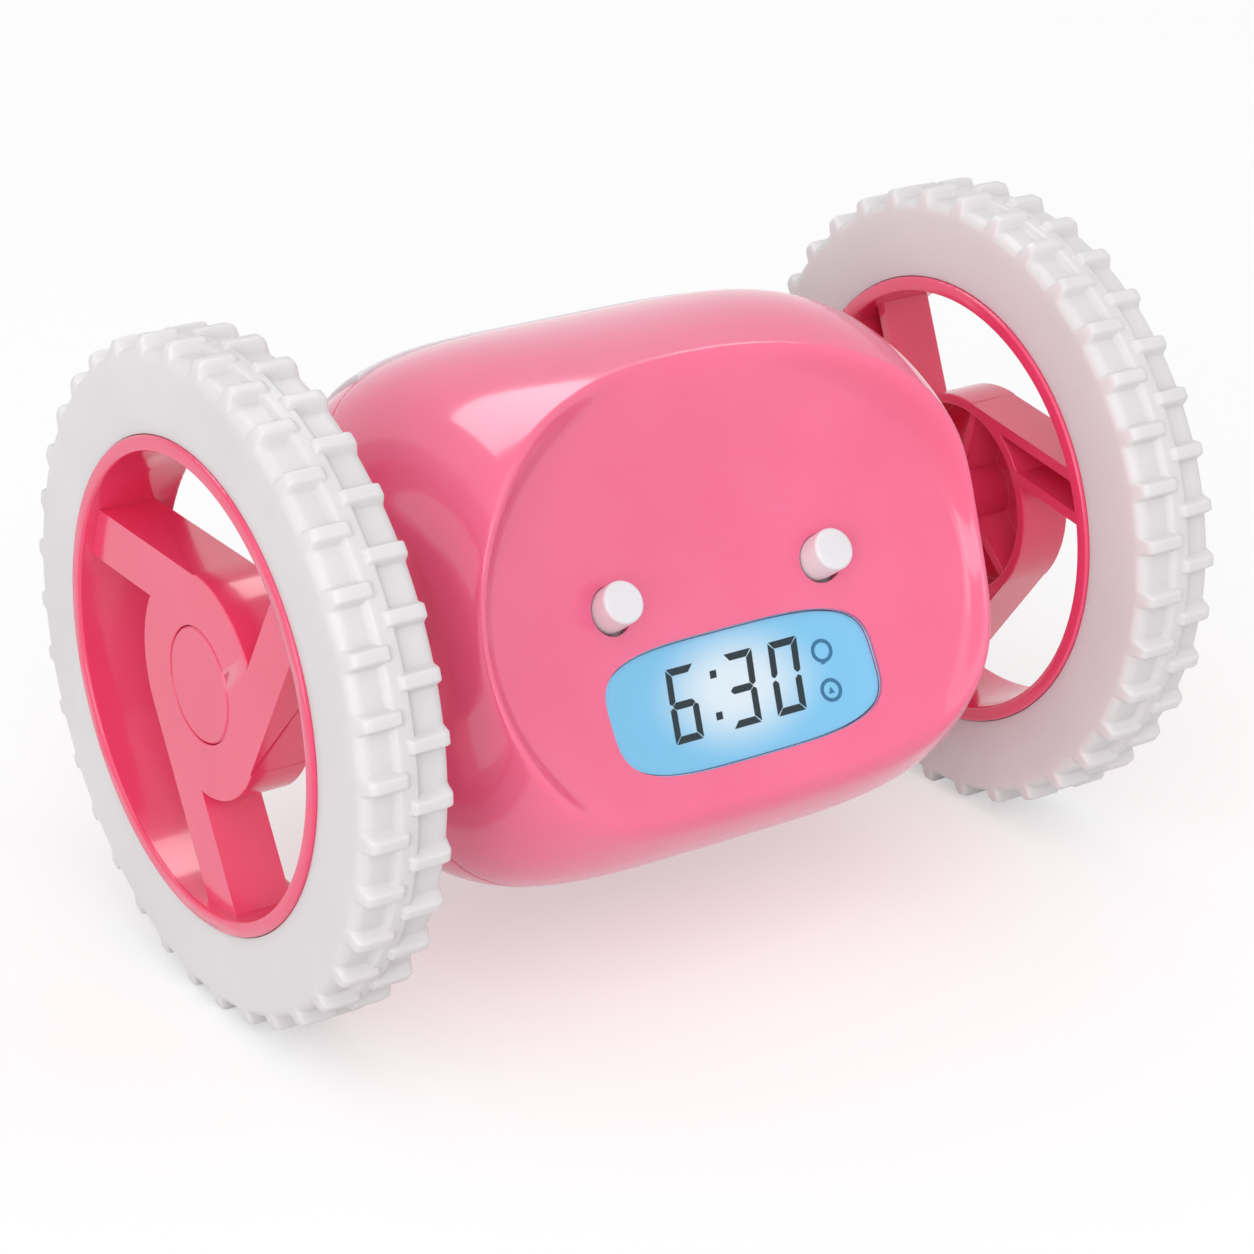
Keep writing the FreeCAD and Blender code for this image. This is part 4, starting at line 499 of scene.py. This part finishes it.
def display_material():
    """The display's pale blue ground, glowing with painted light, with a whitish patch of painted light
    behind the digits.
    """
    material, tree, shader = new_material("display_ground", Roughness=0.35)
    place = tree.nodes.new("ShaderNodeTexCoord")
    shape = tree.nodes.new("ShaderNodeMapping")
    middle = core(0.0, WINDOW_FRONT, DIGIT_MIDDLE)
    stretch = Vector([1 / (half * MM) for half in PAINTED_GLOW_HALF])
    shape.inputs["Scale"].default_value = stretch
    shape.inputs["Location"].default_value = [-m * s for m, s in zip(middle, stretch)]
    tree.links.new(place.outputs["Object"], shape.inputs["Vector"])
    # How far a point lies from the middle of the whitish patch of painted light.
    glow = tree.nodes.new("ShaderNodeVectorMath")
    glow.operation = "LENGTH"
    tree.links.new(shape.outputs["Vector"], glow.inputs[0])
    ramp = tree.nodes.new("ShaderNodeValToRGB")
    ramp.color_ramp.interpolation = "EASE"
    ramp.color_ramp.elements[0].position = PAINTED_GLOW_START
    ramp.color_ramp.elements[0].color = PAINTED_GLOW_COLOUR
    ramp.color_ramp.elements[1].position = 1.0
    ramp.color_ramp.elements[1].color = GROUND_COLOUR
    tree.links.new(glow.outputs["Value"], ramp.inputs["Fac"])
    tree.links.new(ramp.outputs["Color"], shader.inputs["Base Color"])
    # The ground also emits its colour: painted light, brightest in the whitish patch.
    tree.links.new(ramp.outputs["Color"], shader.inputs["Emission Color"])
    shader.inputs["Emission Strength"].default_value = DISPLAY_PAINTED_GLOW
    return material


def make_materials():
    """Every material, by the name of its slot."""
    return {
        "body_pink": moulded("body_pink", PINK_DARK, PINK_LIGHT, 0.16, Subsurface_Weight=0.25,
                             Subsurface_Radius=PINK_SCATTER, Subsurface_Scale=1.0,
                             Coat_Weight=0.35, Coat_Roughness=0.05),
        "hub_pink": moulded("hub_pink", HUB_DARK, HUB_LIGHT, 0.2, Subsurface_Weight=0.15,
                            Subsurface_Radius=PINK_SCATTER, Subsurface_Scale=1.0,
                            Coat_Weight=0.4, Coat_Roughness=0.08),
        "tyre_white": moulded("tyre_white", WHITE_DARK, WHITE_LIGHT, 0.42, grain=1400.0,
                              Subsurface_Weight=0.35, Subsurface_Radius=TYRE_SCATTER,
                              Subsurface_Scale=1.0),
        "button_white": moulded("button_white", (0.74, 0.73, 0.755), (0.78, 0.77, 0.795), 0.28,
                                Subsurface_Weight=0.2, Subsurface_Radius=BUTTON_SCATTER,
                                Subsurface_Scale=1.0),
        "clear_window": window_material(),
        "display": display_material(),
        "diffuser": moulded("diffuser", (0.75, 0.82, 0.88), (0.80, 0.86, 0.92), 0.5),
        "black_plastic": moulded("black_plastic", (0.012, 0.012, 0.014), (0.02, 0.02, 0.022), 0.45),
        "grey_plastic": moulded("grey_plastic", (0.36, 0.37, 0.39), (0.42, 0.43, 0.45), 0.45),
        "gear_white": moulded("gear_white", (0.74, 0.73, 0.68), (0.80, 0.79, 0.74), 0.4),
        "board_green": moulded("board_green", (0.02, 0.16, 0.06), (0.03, 0.22, 0.08), 0.35),
        "silicone": moulded("silicone", (0.60, 0.46, 0.48), (0.68, 0.52, 0.54), 0.6),
        "steel": metal("steel", (0.60, 0.60, 0.61), 0.32),
        "spring_steel": metal("spring_steel", (0.72, 0.72, 0.73), 0.18),
        "brass": metal("brass", (0.78, 0.58, 0.26), 0.28),
        "cell_wrap": moulded("cell_wrap", (0.02, 0.022, 0.028), (0.03, 0.034, 0.042), 0.25),
        "segment": moulded("segment", (0.004, 0.016, 0.024), (0.006, 0.022, 0.032), 0.6),
        "icon": moulded("icon", (0.03, 0.19, 0.36), (0.04, 0.22, 0.40), 0.5),
    }


def dress_solids(materials):
    """Put the procedural material of its slot on every solid."""
    slots = {part["node"]: part["material_slot"] for part in frame["record"]["subparts"]}
    for node, item in frame["nodes"].items():
        item.data.materials.clear()
        item.data.materials.append(materials[slots[node]])


# Front shell

def section_scale(x, inset=0.0):
    """How much smaller the body's section is at x than in the middle."""
    return (1 - np.abs(x / (HALF_LENGTH - inset)) ** END_POWER) ** (1 / END_POWER)


def barrel(x, turn, inset=0.0):
    """The body's skin, or the skin inset from it: rear and rise at x, at an angle round the section."""
    scale = section_scale(x, inset)
    along = (SECTION_LONG - inset) * scale * np.cos(turn)
    aside = (SECTION_SHORT - inset) * scale * np.sin(turn)
    rear = SECTION_CENTRE[0] + along * math.cos(SECTION_TILT) - aside * math.sin(SECTION_TILT)
    rise = SECTION_CENTRE[1] + along * math.sin(SECTION_TILT) + aside * math.cos(SECTION_TILT)
    return rear, rise


def seam_turn(x, rear, inset=0.0):
    """The two angles round the section where the skin crosses a plane of constant rear."""
    long, short = SECTION_LONG - inset, SECTION_SHORT - inset
    reach = math.hypot(long * math.cos(SECTION_TILT), short * math.sin(SECTION_TILT))
    lead = math.atan2(short * math.sin(SECTION_TILT), long * math.cos(SECTION_TILT))
    half = np.arccos((rear - SECTION_CENTRE[0]) / (section_scale(x, inset) * reach))
    return half - lead, 2 * math.pi - half - lead


def soft_min(a, b, blend):
    """The smaller of two values, rounded off where they are close."""
    share = np.clip(0.5 + 0.5 * (b - a) / blend, 0, 1)
    return b * (1 - share) + a * share - blend * share * (1 - share)


def soft_max(a, b, blend):
    """The larger of two values, rounded off where they are close."""
    return -soft_min(-a, -b, blend)


def dish_rear(x, rise, inset=0.0):
    """Where the hollow of the face lies behind a point, with a soft foot to its side wall.

    The smallest values only keep points outside the hollow finite.
    """
    inside = 1 - (x / DISH_RADII[0]) ** 2 - ((rise - DISH_CENTRE[1]) / DISH_RADII[2]) ** 2
    floor = DISH_CENTRE[0] + DISH_RADII[1] * np.sqrt(np.clip(inside, 0.01, None)) + inset
    away = np.hypot(x / BROW_HALF[0], (rise - BROW_RISE) / BROW_HALF[1])
    slope = np.hypot(x / BROW_HALF[0] ** 2, (rise - BROW_RISE) / BROW_HALF[1] ** 2) / np.maximum(away, 0.05)
    outside = (away - 1) / np.maximum(slope, 1e-4) - inset
    wall = BROW_REAR - outside / math.tan(BROW_DRAFT)
    return soft_min(floor, wall, FLOOR_BLEND)


def even_stations(count, inset=0.0):
    """Stations along x that are evenly spaced on the skin's profile."""
    fine = np.linspace(inset - CAP_FACE, CAP_FACE - inset, FINE_STATIONS)
    radius = (SECTION_LONG - inset) * section_scale(fine, inset)
    travel = np.concatenate([[0], np.cumsum(np.hypot(np.diff(fine), np.diff(radius)))])
    return np.interp(np.linspace(0, travel[-1], count), travel, fine)


def front_skin(rows, columns, inset=0.0):
    """Rows of the front skin from one end's axle hole to the other, as x, rear and rise."""
    stations = even_stations(rows, inset)
    first, last = seam_turn(stations, -SEAM, inset)
    share = np.linspace(0, 1, columns)
    turn = first[:, None] + (last - first)[:, None] * share
    x = np.repeat(stations[:, None], columns, axis=1)
    rear, rise = barrel(x, turn, inset)
    rear = soft_max(rear, dish_rear(x, rise, inset), RIM_BLEND)
    rear[:, 0] = rear[:, -1] = -SEAM
    skin = np.stack([x, rear, rise], axis=-1)
    around = math.pi / 2 + math.pi * share
    hole = np.stack([np.zeros(columns), AXLE_HOLE * np.cos(around), AXLE_HOLE * np.sin(around)], axis=-1)
    hole[0, 1] = hole[-1, 1] = -SEAM
    ends = []
    for edge in (skin[0], skin[-1]):
        steps = []
        for mix in np.linspace(0, 1, END_RINGS + 1)[1:]:
            ring = edge * (1 - mix) + hole * mix
            ring[:, 0] = edge[0, 0]
            steps.append(ring)
        ends.append(np.array(steps))
    return np.concatenate([ends[0][::-1], skin, ends[1]])


def front_shell(materials):
    """The pink front, as one closed skin with the window and the eye buttons' holes cut out."""
    outer = front_skin(SKIN_ROWS, SKIN_COLUMNS)
    inner = front_skin(SKIN_ROWS, SKIN_COLUMNS, WALL)
    # The skin dips a little at the seam, so that the parting line shows.
    for column in (0, -1):
        outer[:, column] += (inner[:, column] - outer[:, column]) * SEAM_DIP
        outer[:, column, 1] = -SEAM
    skin = np.concatenate([outer, inner[:, ::-1]], axis=1)
    points = core(skin[..., 0], skin[..., 1], skin[..., 2]).reshape(-1, 3)
    item = make_mesh("front_skin", points, folded_faces(*skin.shape[:2]))
    outward(item)
    carve(item, [window_cutter()] + [eye_cutter(side) for _, side in SIDES])
    smooth(item, 40)
    return finish_piece(item, materials["body_pink"], "body", ["front_shell"])


def window_cutter():
    """The block that cuts the window's opening."""
    outline = window_outline(WINDOW_GAP)
    points = [core(x, depth, rise) for depth in WINDOW_CUT for x, rise in outline]
    count = len(outline)
    faces = [list(range(count)), list(range(2 * count - 1, count - 1, -1))]
    faces += [[i, (i + 1) % count, count + (i + 1) % count, count + i] for i in range(count)]
    return make_mesh("window_cut", points, faces)


def eye_cutter(side):
    """The rod that cuts an eye button's hole."""
    origin = core(side * EYE_X, EYE_PLACE[0], EYE_PLACE[1] - EYE_HOLE_DROP)
    return lathe("eye_cut_%d" % (side + 1), [(EYE_HOLE, end) for end in EYE_CUT], origin, eye_axis())


def eye_axis():
    """The way an eye button stands out of the face."""
    return Vector((0, -math.cos(EYE_TILT), math.sin(EYE_TILT)))


# Rear

def rear_pieces(materials):
    """The rear shell, the battery door, the snooze bar and the set buttons."""
    refined("rear_shell", materials["body_pink"], "body", SHELL_ROUND)
    refined("battery_door", materials["body_pink"], "battery_door_body", SHELL_ROUND)
    snooze_bar(materials)
    for label in ("hour_button", "minute_button", "time_button", "alarm_button"):
        refined(label, materials["button_white"], label + "_body", SMALL_ROUND)


def snooze_bar(materials):
    """A curved bar that stands a little out of the shell, with a plunger and two legs below."""
    stations = np.linspace(-SNOOZE_HALF, SNOOZE_HALF, SNOOZE_ROWS)
    share = np.linspace(0, 1, SNOOZE_COLUMNS)
    skins = []
    for inset in (-SNOOZE_PROUD, SNOOZE_SKIN - SNOOZE_PROUD):
        front, rear = [seam_turn(stations, edge, inset)[0] for edge in SNOOZE_REAR]
        turn = front[:, None] + (rear - front)[:, None] * share
        skins.append(core(stations[:, None], *barrel(stations[:, None], turn, inset)))
    loop = np.concatenate([skins[0], skins[1][:, ::-1]], axis=1)
    bar = make_mesh("snooze_bar", loop.reshape(-1, 3), folded_faces(*loop.shape[:2]))
    outward(bar)
    middle = sum(SNOOZE_REAR) / 2
    top = skin_rise(0.0, middle) - POST_SINK
    rise = Vector(core(0, 0, 1)) - Vector(core(0, 0, 0))
    posts = [lathe("plunger", [(SNOOZE_PLUNGER, PLUNGER_END), (SNOOZE_PLUNGER, top)],
                   core(0, middle, 0), rise, steps=32)]
    top = skin_rise(SNOOZE_LEG_X, middle) - POST_SINK
    for _, side in SIDES:
        posts.append(snooze_leg(side * SNOOZE_LEG_X, middle, LEG_END, top))
    carve(bar, posts, "UNION")
    smooth(bar, 35)
    bevel(bar, SOFT_ROUND, 3)
    finish_piece(bar, materials["button_white"], "snooze_button_body", ["snooze_button"])


def skin_rise(x, rear):
    """How high the top of the body's skin is at x, above a given rear."""
    return barrel(x, seam_turn(x, rear)[0])[1]


def snooze_leg(x, rear, low, high):
    """One of the bar's legs, as a block along the rise."""
    half_x, half_rear = SNOOZE_LEG[0] / 2, SNOOZE_LEG[1] / 2
    points = [core(x + i * half_x, rear + j * half_rear, rise)
              for rise in (low, high) for i, j in ((-1, -1), (1, -1), (1, 1), (-1, 1))]
    faces = [[0, 1, 2, 3], [4, 5, 6, 7]] + [[k, (k + 1) % 4, 4 + (k + 1) % 4, 4 + k] for k in range(4)]
    return make_mesh("leg", points, faces)


# Display

def window_outline(grow):
    """The rounded oblong of the window, grown outwards, as (x, rise) points."""
    turn = 2 * math.pi * np.arange(OUTLINE_STEPS) / OUTLINE_STEPS
    along, up = np.cos(turn), np.sin(turn)
    size = (np.abs(along) ** WINDOW_SQUARENESS + np.abs(up) ** WINDOW_SQUARENESS) ** (-1 / WINDOW_SQUARENESS)
    x = (WINDOW_HALF[0] + grow) * along * size
    rise = WINDOW_RISE + (WINDOW_HALF[1] + grow) * up * size
    return list(zip(x.tolist(), rise.tolist()))


def window_slab(name, grow, sink, thickness, rings=12):
    """A slab in the window's outline that follows the hollow face, some way behind it."""
    outline = np.array(window_outline(grow)) - (0.0, WINDOW_RISE)
    layers = [(share, sink) for share in np.linspace(0, 1, rings + 1)[1:]]
    layers += [(share, sink + thickness) for share, _ in layers[::-1]]
    rows = []
    for share, depth in layers:
        x, rise = outline[:, 0] * share, WINDOW_RISE + outline[:, 1] * share
        rows.append(core(x, dish_rear(x, rise) + depth, rise))
    count = len(outline)
    faces = grid_faces(len(rows), count, wrap_columns=True)
    faces.append(list(range(count)))
    faces.append([(len(rows) - 1) * count + i for i in range(count)])
    item = make_mesh(name, np.concatenate(rows), faces)
    outward(item)
    smooth(item, 30)
    return item


def segment_outline(kind):
    """One bar of a digit, with mitred ends, in a box of the digit's width and height."""
    w, h, s, gap = DIGIT_WIDTH, DIGIT_HEIGHT, DIGIT_STROKE, DIGIT_GAP
    if kind == "top":
        return [(gap, h), (w - gap, h), (w - s, h - s), (s, h - s)]
    if kind == "bottom":
        return [(s, s), (w - s, s), (w - gap, 0), (gap, 0)]
    half, tip = s / 2, s * SEGMENT_TIP
    if kind == "middle":
        return [(half, h / 2), (s, h / 2 + half), (w - s, h / 2 + half), (w - half, h / 2),
                (w - s, h / 2 - half), (s, h / 2 - half)]
    if "upper" in kind:
        low, high = h / 2 + gap, h - gap
        bar = [(0, high), (0, low + tip), (half, low), (s, low + half), (s, high - s)]
    else:
        low, high = gap, h / 2 - gap
        bar = [(0, low), (0, high - tip), (half, high), (s, high - half), (s, low + s)]
    if "right" in kind:
        bar = [(w - x, y) for x, y in bar]
    return bar


def plates(name, outlines, sink):
    """Thin raised plates on the display's ground, one for each outline of (x, rise) points."""
    points = []
    faces = []
    for outline in outlines:
        start = len(points)
        count = len(outline)
        for depth in (sink, sink + PLATE_THICKNESS):
            points += [core(x, dish_rear(x, rise) + depth, rise) for x, rise in outline]
        faces.append([start + i for i in range(count)])
        faces.append([start + count + i for i in range(count)][::-1])
        faces += [[start + i, start + count + i, start + count + (i + 1) % count, start + (i + 1) % count]
                  for i in range(count)]
    item = make_mesh(name, points, faces)
    outward(item)
    return item


def ring_quads(x, rise, radius, width, steps=32):
    """The outlines of the flat pieces that make a ring."""
    quads = []
    for step in range(steps):
        a, b = 2 * math.pi * step / steps, 2 * math.pi * (step + 1) / steps
        quads.append([(x + r * math.cos(t), rise + r * math.sin(t))
                      for r, t in ((radius, a), (radius, b), (radius - width, b), (radius - width, a))])
    return quads


def digit_outlines():
    """The bars of the three digits and the two leaning dots between them."""
    base = DIGIT_MIDDLE - DIGIT_HEIGHT / 2
    outlines = []
    for digit, left in DIGIT_LEFTS:
        for kind in DIGITS[digit]:
            outlines.append([(left + x + y * DIGIT_SLANT, base + y) for x, y in segment_outline(kind)])
    for rise in DOT_RISES:
        left = DOT_LEFT + rise * DIGIT_SLANT
        low, high = base + rise - DOT_SIZE / 2, base + rise + DOT_SIZE / 2
        outlines.append([(left, low), (left + DOT_SIZE, low),
                         (left + DOT_SIZE + DOT_LEAN, high), (left + DOT_LEAN, high)])
    return outlines


def mark_outlines():
    """The two small round marks beside the digits, each with a small hand."""
    outlines = []
    for x, rise in MARK_RINGS:
        outlines += ring_quads(x, rise, MARK_RADIUS, MARK_STROKE)
    for x, rise, size in MARK_HANDS:
        outlines.append([(x - size, rise - size), (x + size, rise - size), (x, rise + size)])
    return outlines


def display(materials):
    """The blue ground, the digits and marks on it, and the clear window in front."""
    ground = window_slab("display_ground", GROUND_OVERLAP, GROUND_SINK, GROUND_THICKNESS)
    finish_piece(ground, materials["display"], "body")
    face = GROUND_SINK - PLATE_THICKNESS - PLATE_GAP
    digits = plates("digits", digit_outlines(), face)
    finish_piece(digits, materials["segment"], "body")
    icons = plates("icons", mark_outlines(), face)
    finish_piece(icons, materials["icon"], "body")
    pane = window_slab("window_pane", 0.0, PANE_SINK, PANE_THICKNESS)
    bevel(pane, SOFT_ROUND, 3)
    finish_piece(pane, materials["clear_window"], "body", ["lcd_window"])


# Buttons

def eye_buttons(materials):
    """The two white buttons above the window, each with a flange and a stem behind the face."""
    for hand, side in SIDES:
        label = hand + "_eye_button"
        origin = Vector(core(side * EYE_X, *EYE_PLACE))
        profile = rounded_profile(EYE_RADIUS, EYE_PROUD, EYE_FLANGE[0], EYE_EDGE)
        profile += [(EYE_FLANGE_RADIUS, EYE_FLANGE[0]), (EYE_FLANGE_RADIUS, EYE_FLANGE[1]),
                    (EYE_STEM_RADIUS, EYE_FLANGE[1]), (EYE_STEM_RADIUS, EYE_STEM_END)]
        item = lathe(label + "_looks", profile, origin, eye_axis())
        smooth(item, 35)
        finish_piece(item, materials["button_white"], label + "_body", [label])


# Wheels

def tread_columns():
    """Angles round the tyre: each bar's middle, and closer together at the bars' edges."""
    half_pitch = math.pi * TIP_RADIUS / BAR_COUNT
    marks = np.array(BAR_MARKS)
    side = np.concatenate([marks, (half_pitch - marks[1:])[::-1]])
    step = 2 * math.pi / (2 * BAR_COUNT)
    return np.concatenate([cell * step + side / TIP_RADIUS for cell in range(2 * BAR_COUNT)])


def ease(value):
    """A smooth step from 0 to 1."""
    value = np.clip(value, 0, 1)
    return value * value * (3 - 2 * value)


def tyre_profile():
    """The tyre's plain section as (out, radius) points, and its outward normals."""
    inner, outer = TYRE_FACES
    seat_inner, seat_outer = HUB_FACES[0] + LIP_WIDTH, HUB_FACES[1] - LIP_WIDTH
    lip = LIP_RADIUS + LIP_PLAY
    side_start, side_end = LIP_RADIUS + SIDE_START, BASE_RADIUS - SHOULDER
    points = [(seat_inner, SEAT_RADIUS), (seat_inner, lip), (inner, lip)]
    for radius in np.linspace(side_start, side_end, SIDE_POINTS):
        points.append((inner, radius))
    for turn in np.linspace(0, math.pi / 2, SHOULDER_POINTS + 1)[1:]:
        points.append((inner + SHOULDER * (1 - math.cos(turn)), side_end + SHOULDER * math.sin(turn)))
    for out in np.linspace(inner + SHOULDER, outer - SHOULDER, CROWN_POINTS)[1:-1]:
        points.append((out, BASE_RADIUS))
    for turn in np.linspace(math.pi / 2, 0, SHOULDER_POINTS + 1):
        points.append((outer - SHOULDER * (1 - math.cos(turn)), side_end + SHOULDER * math.sin(turn)))
    for radius in np.linspace(side_end, side_start, SIDE_POINTS)[1:]:
        points.append((outer, radius))
    points += [(outer, lip), (seat_outer, lip), (seat_outer, SEAT_RADIUS)]
    return np.array(points)


def tread_height(out, angle):
    """How far the centre rib and the two rows of bars stand out of the tyre's crown."""
    rib_foot = RIB_WIDTH / 2 + RIB_FOOT
    height = (RIB_RADIUS - BASE_RADIUS) * ease((rib_foot - np.abs(out - RIB_MIDDLE)) / RIB_SLOPE)
    pitch = 2 * math.pi / BAR_COUNT
    rows = ((RIB_MIDDLE, TYRE_FACES[1] - BAR_END_GAP, 0.0), (TYRE_FACES[0] + BAR_END_GAP, RIB_MIDDLE, 0.5))
    for first, last, stagger in rows:
        middle = (angle / pitch - stagger + 0.5) % 1.0 - 0.5
        aside = np.abs(middle) * pitch * TIP_RADIUS
        across = ease((BAR_HALF - aside) / BAR_SLOPE)
        along = ease((out - first + BAR_START[0]) / BAR_START[1])
        along = along * ease((last + BAR_END[0] - out) / BAR_END[1])
        bar = (TIP_RADIUS - BASE_RADIUS) * across * along
        height = np.maximum(height, bar)
    return height


def tyre(label, side, materials):
    """The soft tyre, with its tread raised out of one closed skin."""
    section = tyre_profile()
    angle = tread_columns()
    crown = section[:, 1] > BASE_RADIUS - SHOULDER + CROWN_MARGIN
    out = np.repeat(section[:, :1], len(angle), axis=1)
    radius = np.repeat(section[:, 1:], len(angle), axis=1)
    radius = radius + tread_height(out, angle[None, :]) * crown[:, None]
    turn = angle + math.radians(TYRE_TURN[label])
    points = wheel(side, radius * np.cos(turn), radius * np.sin(turn), out).reshape(-1, 3)
    faces = grid_faces(len(section), len(angle), wrap_rows=True, wrap_columns=True)
    item = make_mesh(label + "_tyre_looks", points, faces)
    outward(item)
    smooth(item, 60)
    return finish_piece(item, materials["tyre_white"], label + "_wheel", [label + "_tyre"])


def slim_ring(corner):
    """Narrow the hub's ring to the lips that show: from RING_SOLID to RING_SHOWN."""
    up = corner.co.z - AXLE_HEIGHT * MM
    radius = math.hypot(corner.co.y, up)
    if radius > (RING_SOLID[0] - RING_MARGIN) * MM:
        share = (radius / MM - RING_SOLID[0]) / (RING_SOLID[1] - RING_SOLID[0])
        scale = (RING_SHOWN[0] + (RING_SHOWN[1] - RING_SHOWN[0]) * share) * MM / radius
        corner.co.y *= scale
        corner.co.z = AXLE_HEIGHT * MM + up * scale


def wheels(materials):
    """Both wheels: tyre, hub and cap."""
    for label, side in SIDES:
        tyre(label, side, materials)
        refined(label + "_hub", materials["hub_pink"], label + "_wheel", SHELL_ROUND,
                HUB_ROUND_REACH, slim_ring)
        refined(label + "_hub_cap", materials["hub_pink"], label + "_wheel", SMALL_ROUND)


# Studio

def add_camera():
    """The camera at the photograph's place and angle."""
    data = bpy.data.cameras.new("camera")
    data.lens = CAMERA_LENS
    data.sensor_width = SENSOR
    data.clip_start = 0.01
    item = bpy.data.objects.new("camera", data)
    bpy.context.scene.collection.objects.link(item)
    back = Vector((math.sin(CAMERA_AZIMUTH) * math.cos(CAMERA_ELEVATION),
                   -math.cos(CAMERA_AZIMUTH) * math.cos(CAMERA_ELEVATION), math.sin(CAMERA_ELEVATION)))
    item.location = Vector(CAMERA_PLACE) * MM
    item.rotation_mode = "QUATERNION"
    item.rotation_quaternion = (-back).to_track_quat("-Z", "Y")
    bpy.context.scene.camera = item


def add_lamp(name, place, target, power, width=0.5, height=0.5, gloss_only=False):
    """A soft box; one that is gloss_only shows in shiny surfaces and lights nothing else."""
    data = bpy.data.lights.new(name, "AREA")
    data.shape = "RECTANGLE"
    data.size, data.size_y = width, height
    data.energy = power
    item = bpy.data.objects.new(name, data)
    bpy.context.scene.collection.objects.link(item)
    item.location = place
    item.rotation_mode = "QUATERNION"
    item.rotation_quaternion = (Vector(target) - Vector(place)).to_track_quat("-Z", "Y")
    item.visible_diffuse = not gloss_only


def seen_rays(tree):
    """1 where the camera looks, directly, in a mirror or through glass, and 0 for other light."""
    path = tree.nodes.new("ShaderNodeLightPath")
    seen = path.outputs["Is Camera Ray"]
    for name in ("Is Glossy Ray", "Is Transmission Ray"):
        larger = tree.nodes.new("ShaderNodeMath")
        larger.operation = "MAXIMUM"
        tree.links.new(seen, larger.inputs[0])
        tree.links.new(path.outputs[name], larger.inputs[1])
        seen = larger.outputs[0]
    return seen


def matt_shader(tree, shade):
    """A plain grey."""
    matt = tree.nodes.new("ShaderNodeBsdfDiffuse")
    matt.inputs["Color"].default_value = (shade, shade, shade, 1)
    return matt.outputs["BSDF"]


def add_floor():
    """A white floor. Where it is seen it glows a little, so that its shadows stay pale."""
    far = FLOOR_HALF
    corners = [(-far, -far, 0), (far, -far, 0), (far, far, 0), (-far, far, 0)]
    item = make_mesh("floor", corners, [[0, 1, 2, 3]])
    material = bpy.data.materials.new("floor")
    material.use_nodes = True
    tree = material.node_tree
    tree.nodes.remove(tree.nodes["Principled BSDF"])
    glow = tree.nodes.new("ShaderNodeEmission")
    glow.inputs["Strength"].default_value = FLOOR_GLOW
    both = tree.nodes.new("ShaderNodeAddShader")
    tree.links.new(matt_shader(tree, FLOOR_SEEN), both.inputs[0])
    tree.links.new(glow.outputs["Emission"], both.inputs[1])
    mix = tree.nodes.new("ShaderNodeMixShader")
    tree.links.new(seen_rays(tree), mix.inputs["Fac"])
    tree.links.new(matt_shader(tree, FLOOR_BOUNCE), mix.inputs[1])
    tree.links.new(both.outputs["Shader"], mix.inputs[2])
    tree.links.new(mix.outputs["Shader"], tree.nodes["Material Output"].inputs["Surface"])
    item.data.materials.append(material)


def add_world():
    """White light all round, and a white backdrop where it is seen."""
    world = bpy.data.worlds.new("studio")
    bpy.context.scene.world = world
    world.use_nodes = True
    tree = world.node_tree
    light = tree.nodes["Background"]
    light.inputs["Color"].default_value = (1, 1, 1, 1)
    light.inputs["Strength"].default_value = WORLD_LIGHT
    seen = tree.nodes.new("ShaderNodeBackground")
    seen.inputs["Color"].default_value = (BACKDROP, BACKDROP, BACKDROP, 1)
    mix = tree.nodes.new("ShaderNodeMixShader")
    tree.links.new(seen_rays(tree), mix.inputs["Fac"])
    tree.links.new(light.outputs["Background"], mix.inputs[1])
    tree.links.new(seen.outputs["Background"], mix.inputs[2])
    tree.links.new(mix.outputs["Shader"], tree.nodes["World Output"].inputs["Surface"])


def add_sun(name, azimuth, elevation, strength, softness):
    """A distant soft lamp, which lights the whole floor alike."""
    data = bpy.data.lights.new(name, "SUN")
    data.energy = strength
    data.angle = math.radians(softness)
    item = bpy.data.objects.new(name, data)
    bpy.context.scene.collection.objects.link(item)
    a, e = math.radians(azimuth), math.radians(elevation)
    back = Vector((math.sin(a) * math.cos(e), -math.cos(a) * math.cos(e), math.sin(e)))
    item.rotation_mode = "QUATERNION"
    item.rotation_quaternion = (-back).to_track_quat("-Z", "Y")


def studio():
    """Camera, floor, world and lamps."""
    add_camera()
    add_floor()
    add_world()
    add_sun("key", azimuth=-25, elevation=50, strength=0.6, softness=60)
    add_lamp("top_box", (0.17, 0.40, 0.97), (0.17, 0.40, 0), power=6.0, width=0.9, gloss_only=True)
    add_lamp("front_box", (-0.48, -0.72, 0.40), STUDIO_MIDDLE, power=1.2)
    add_lamp("left_box", (-0.80, -0.50, 0.14), STUDIO_MIDDLE, power=2.2)
    scene = bpy.context.scene
    scene.view_settings.view_transform = "Standard"
    scene.view_settings.look = "None"


materials = make_materials()
dress_solids(materials)
front_shell(materials)
rear_pieces(materials)
display(materials)
eye_buttons(materials)
wheels(materials)
studio()
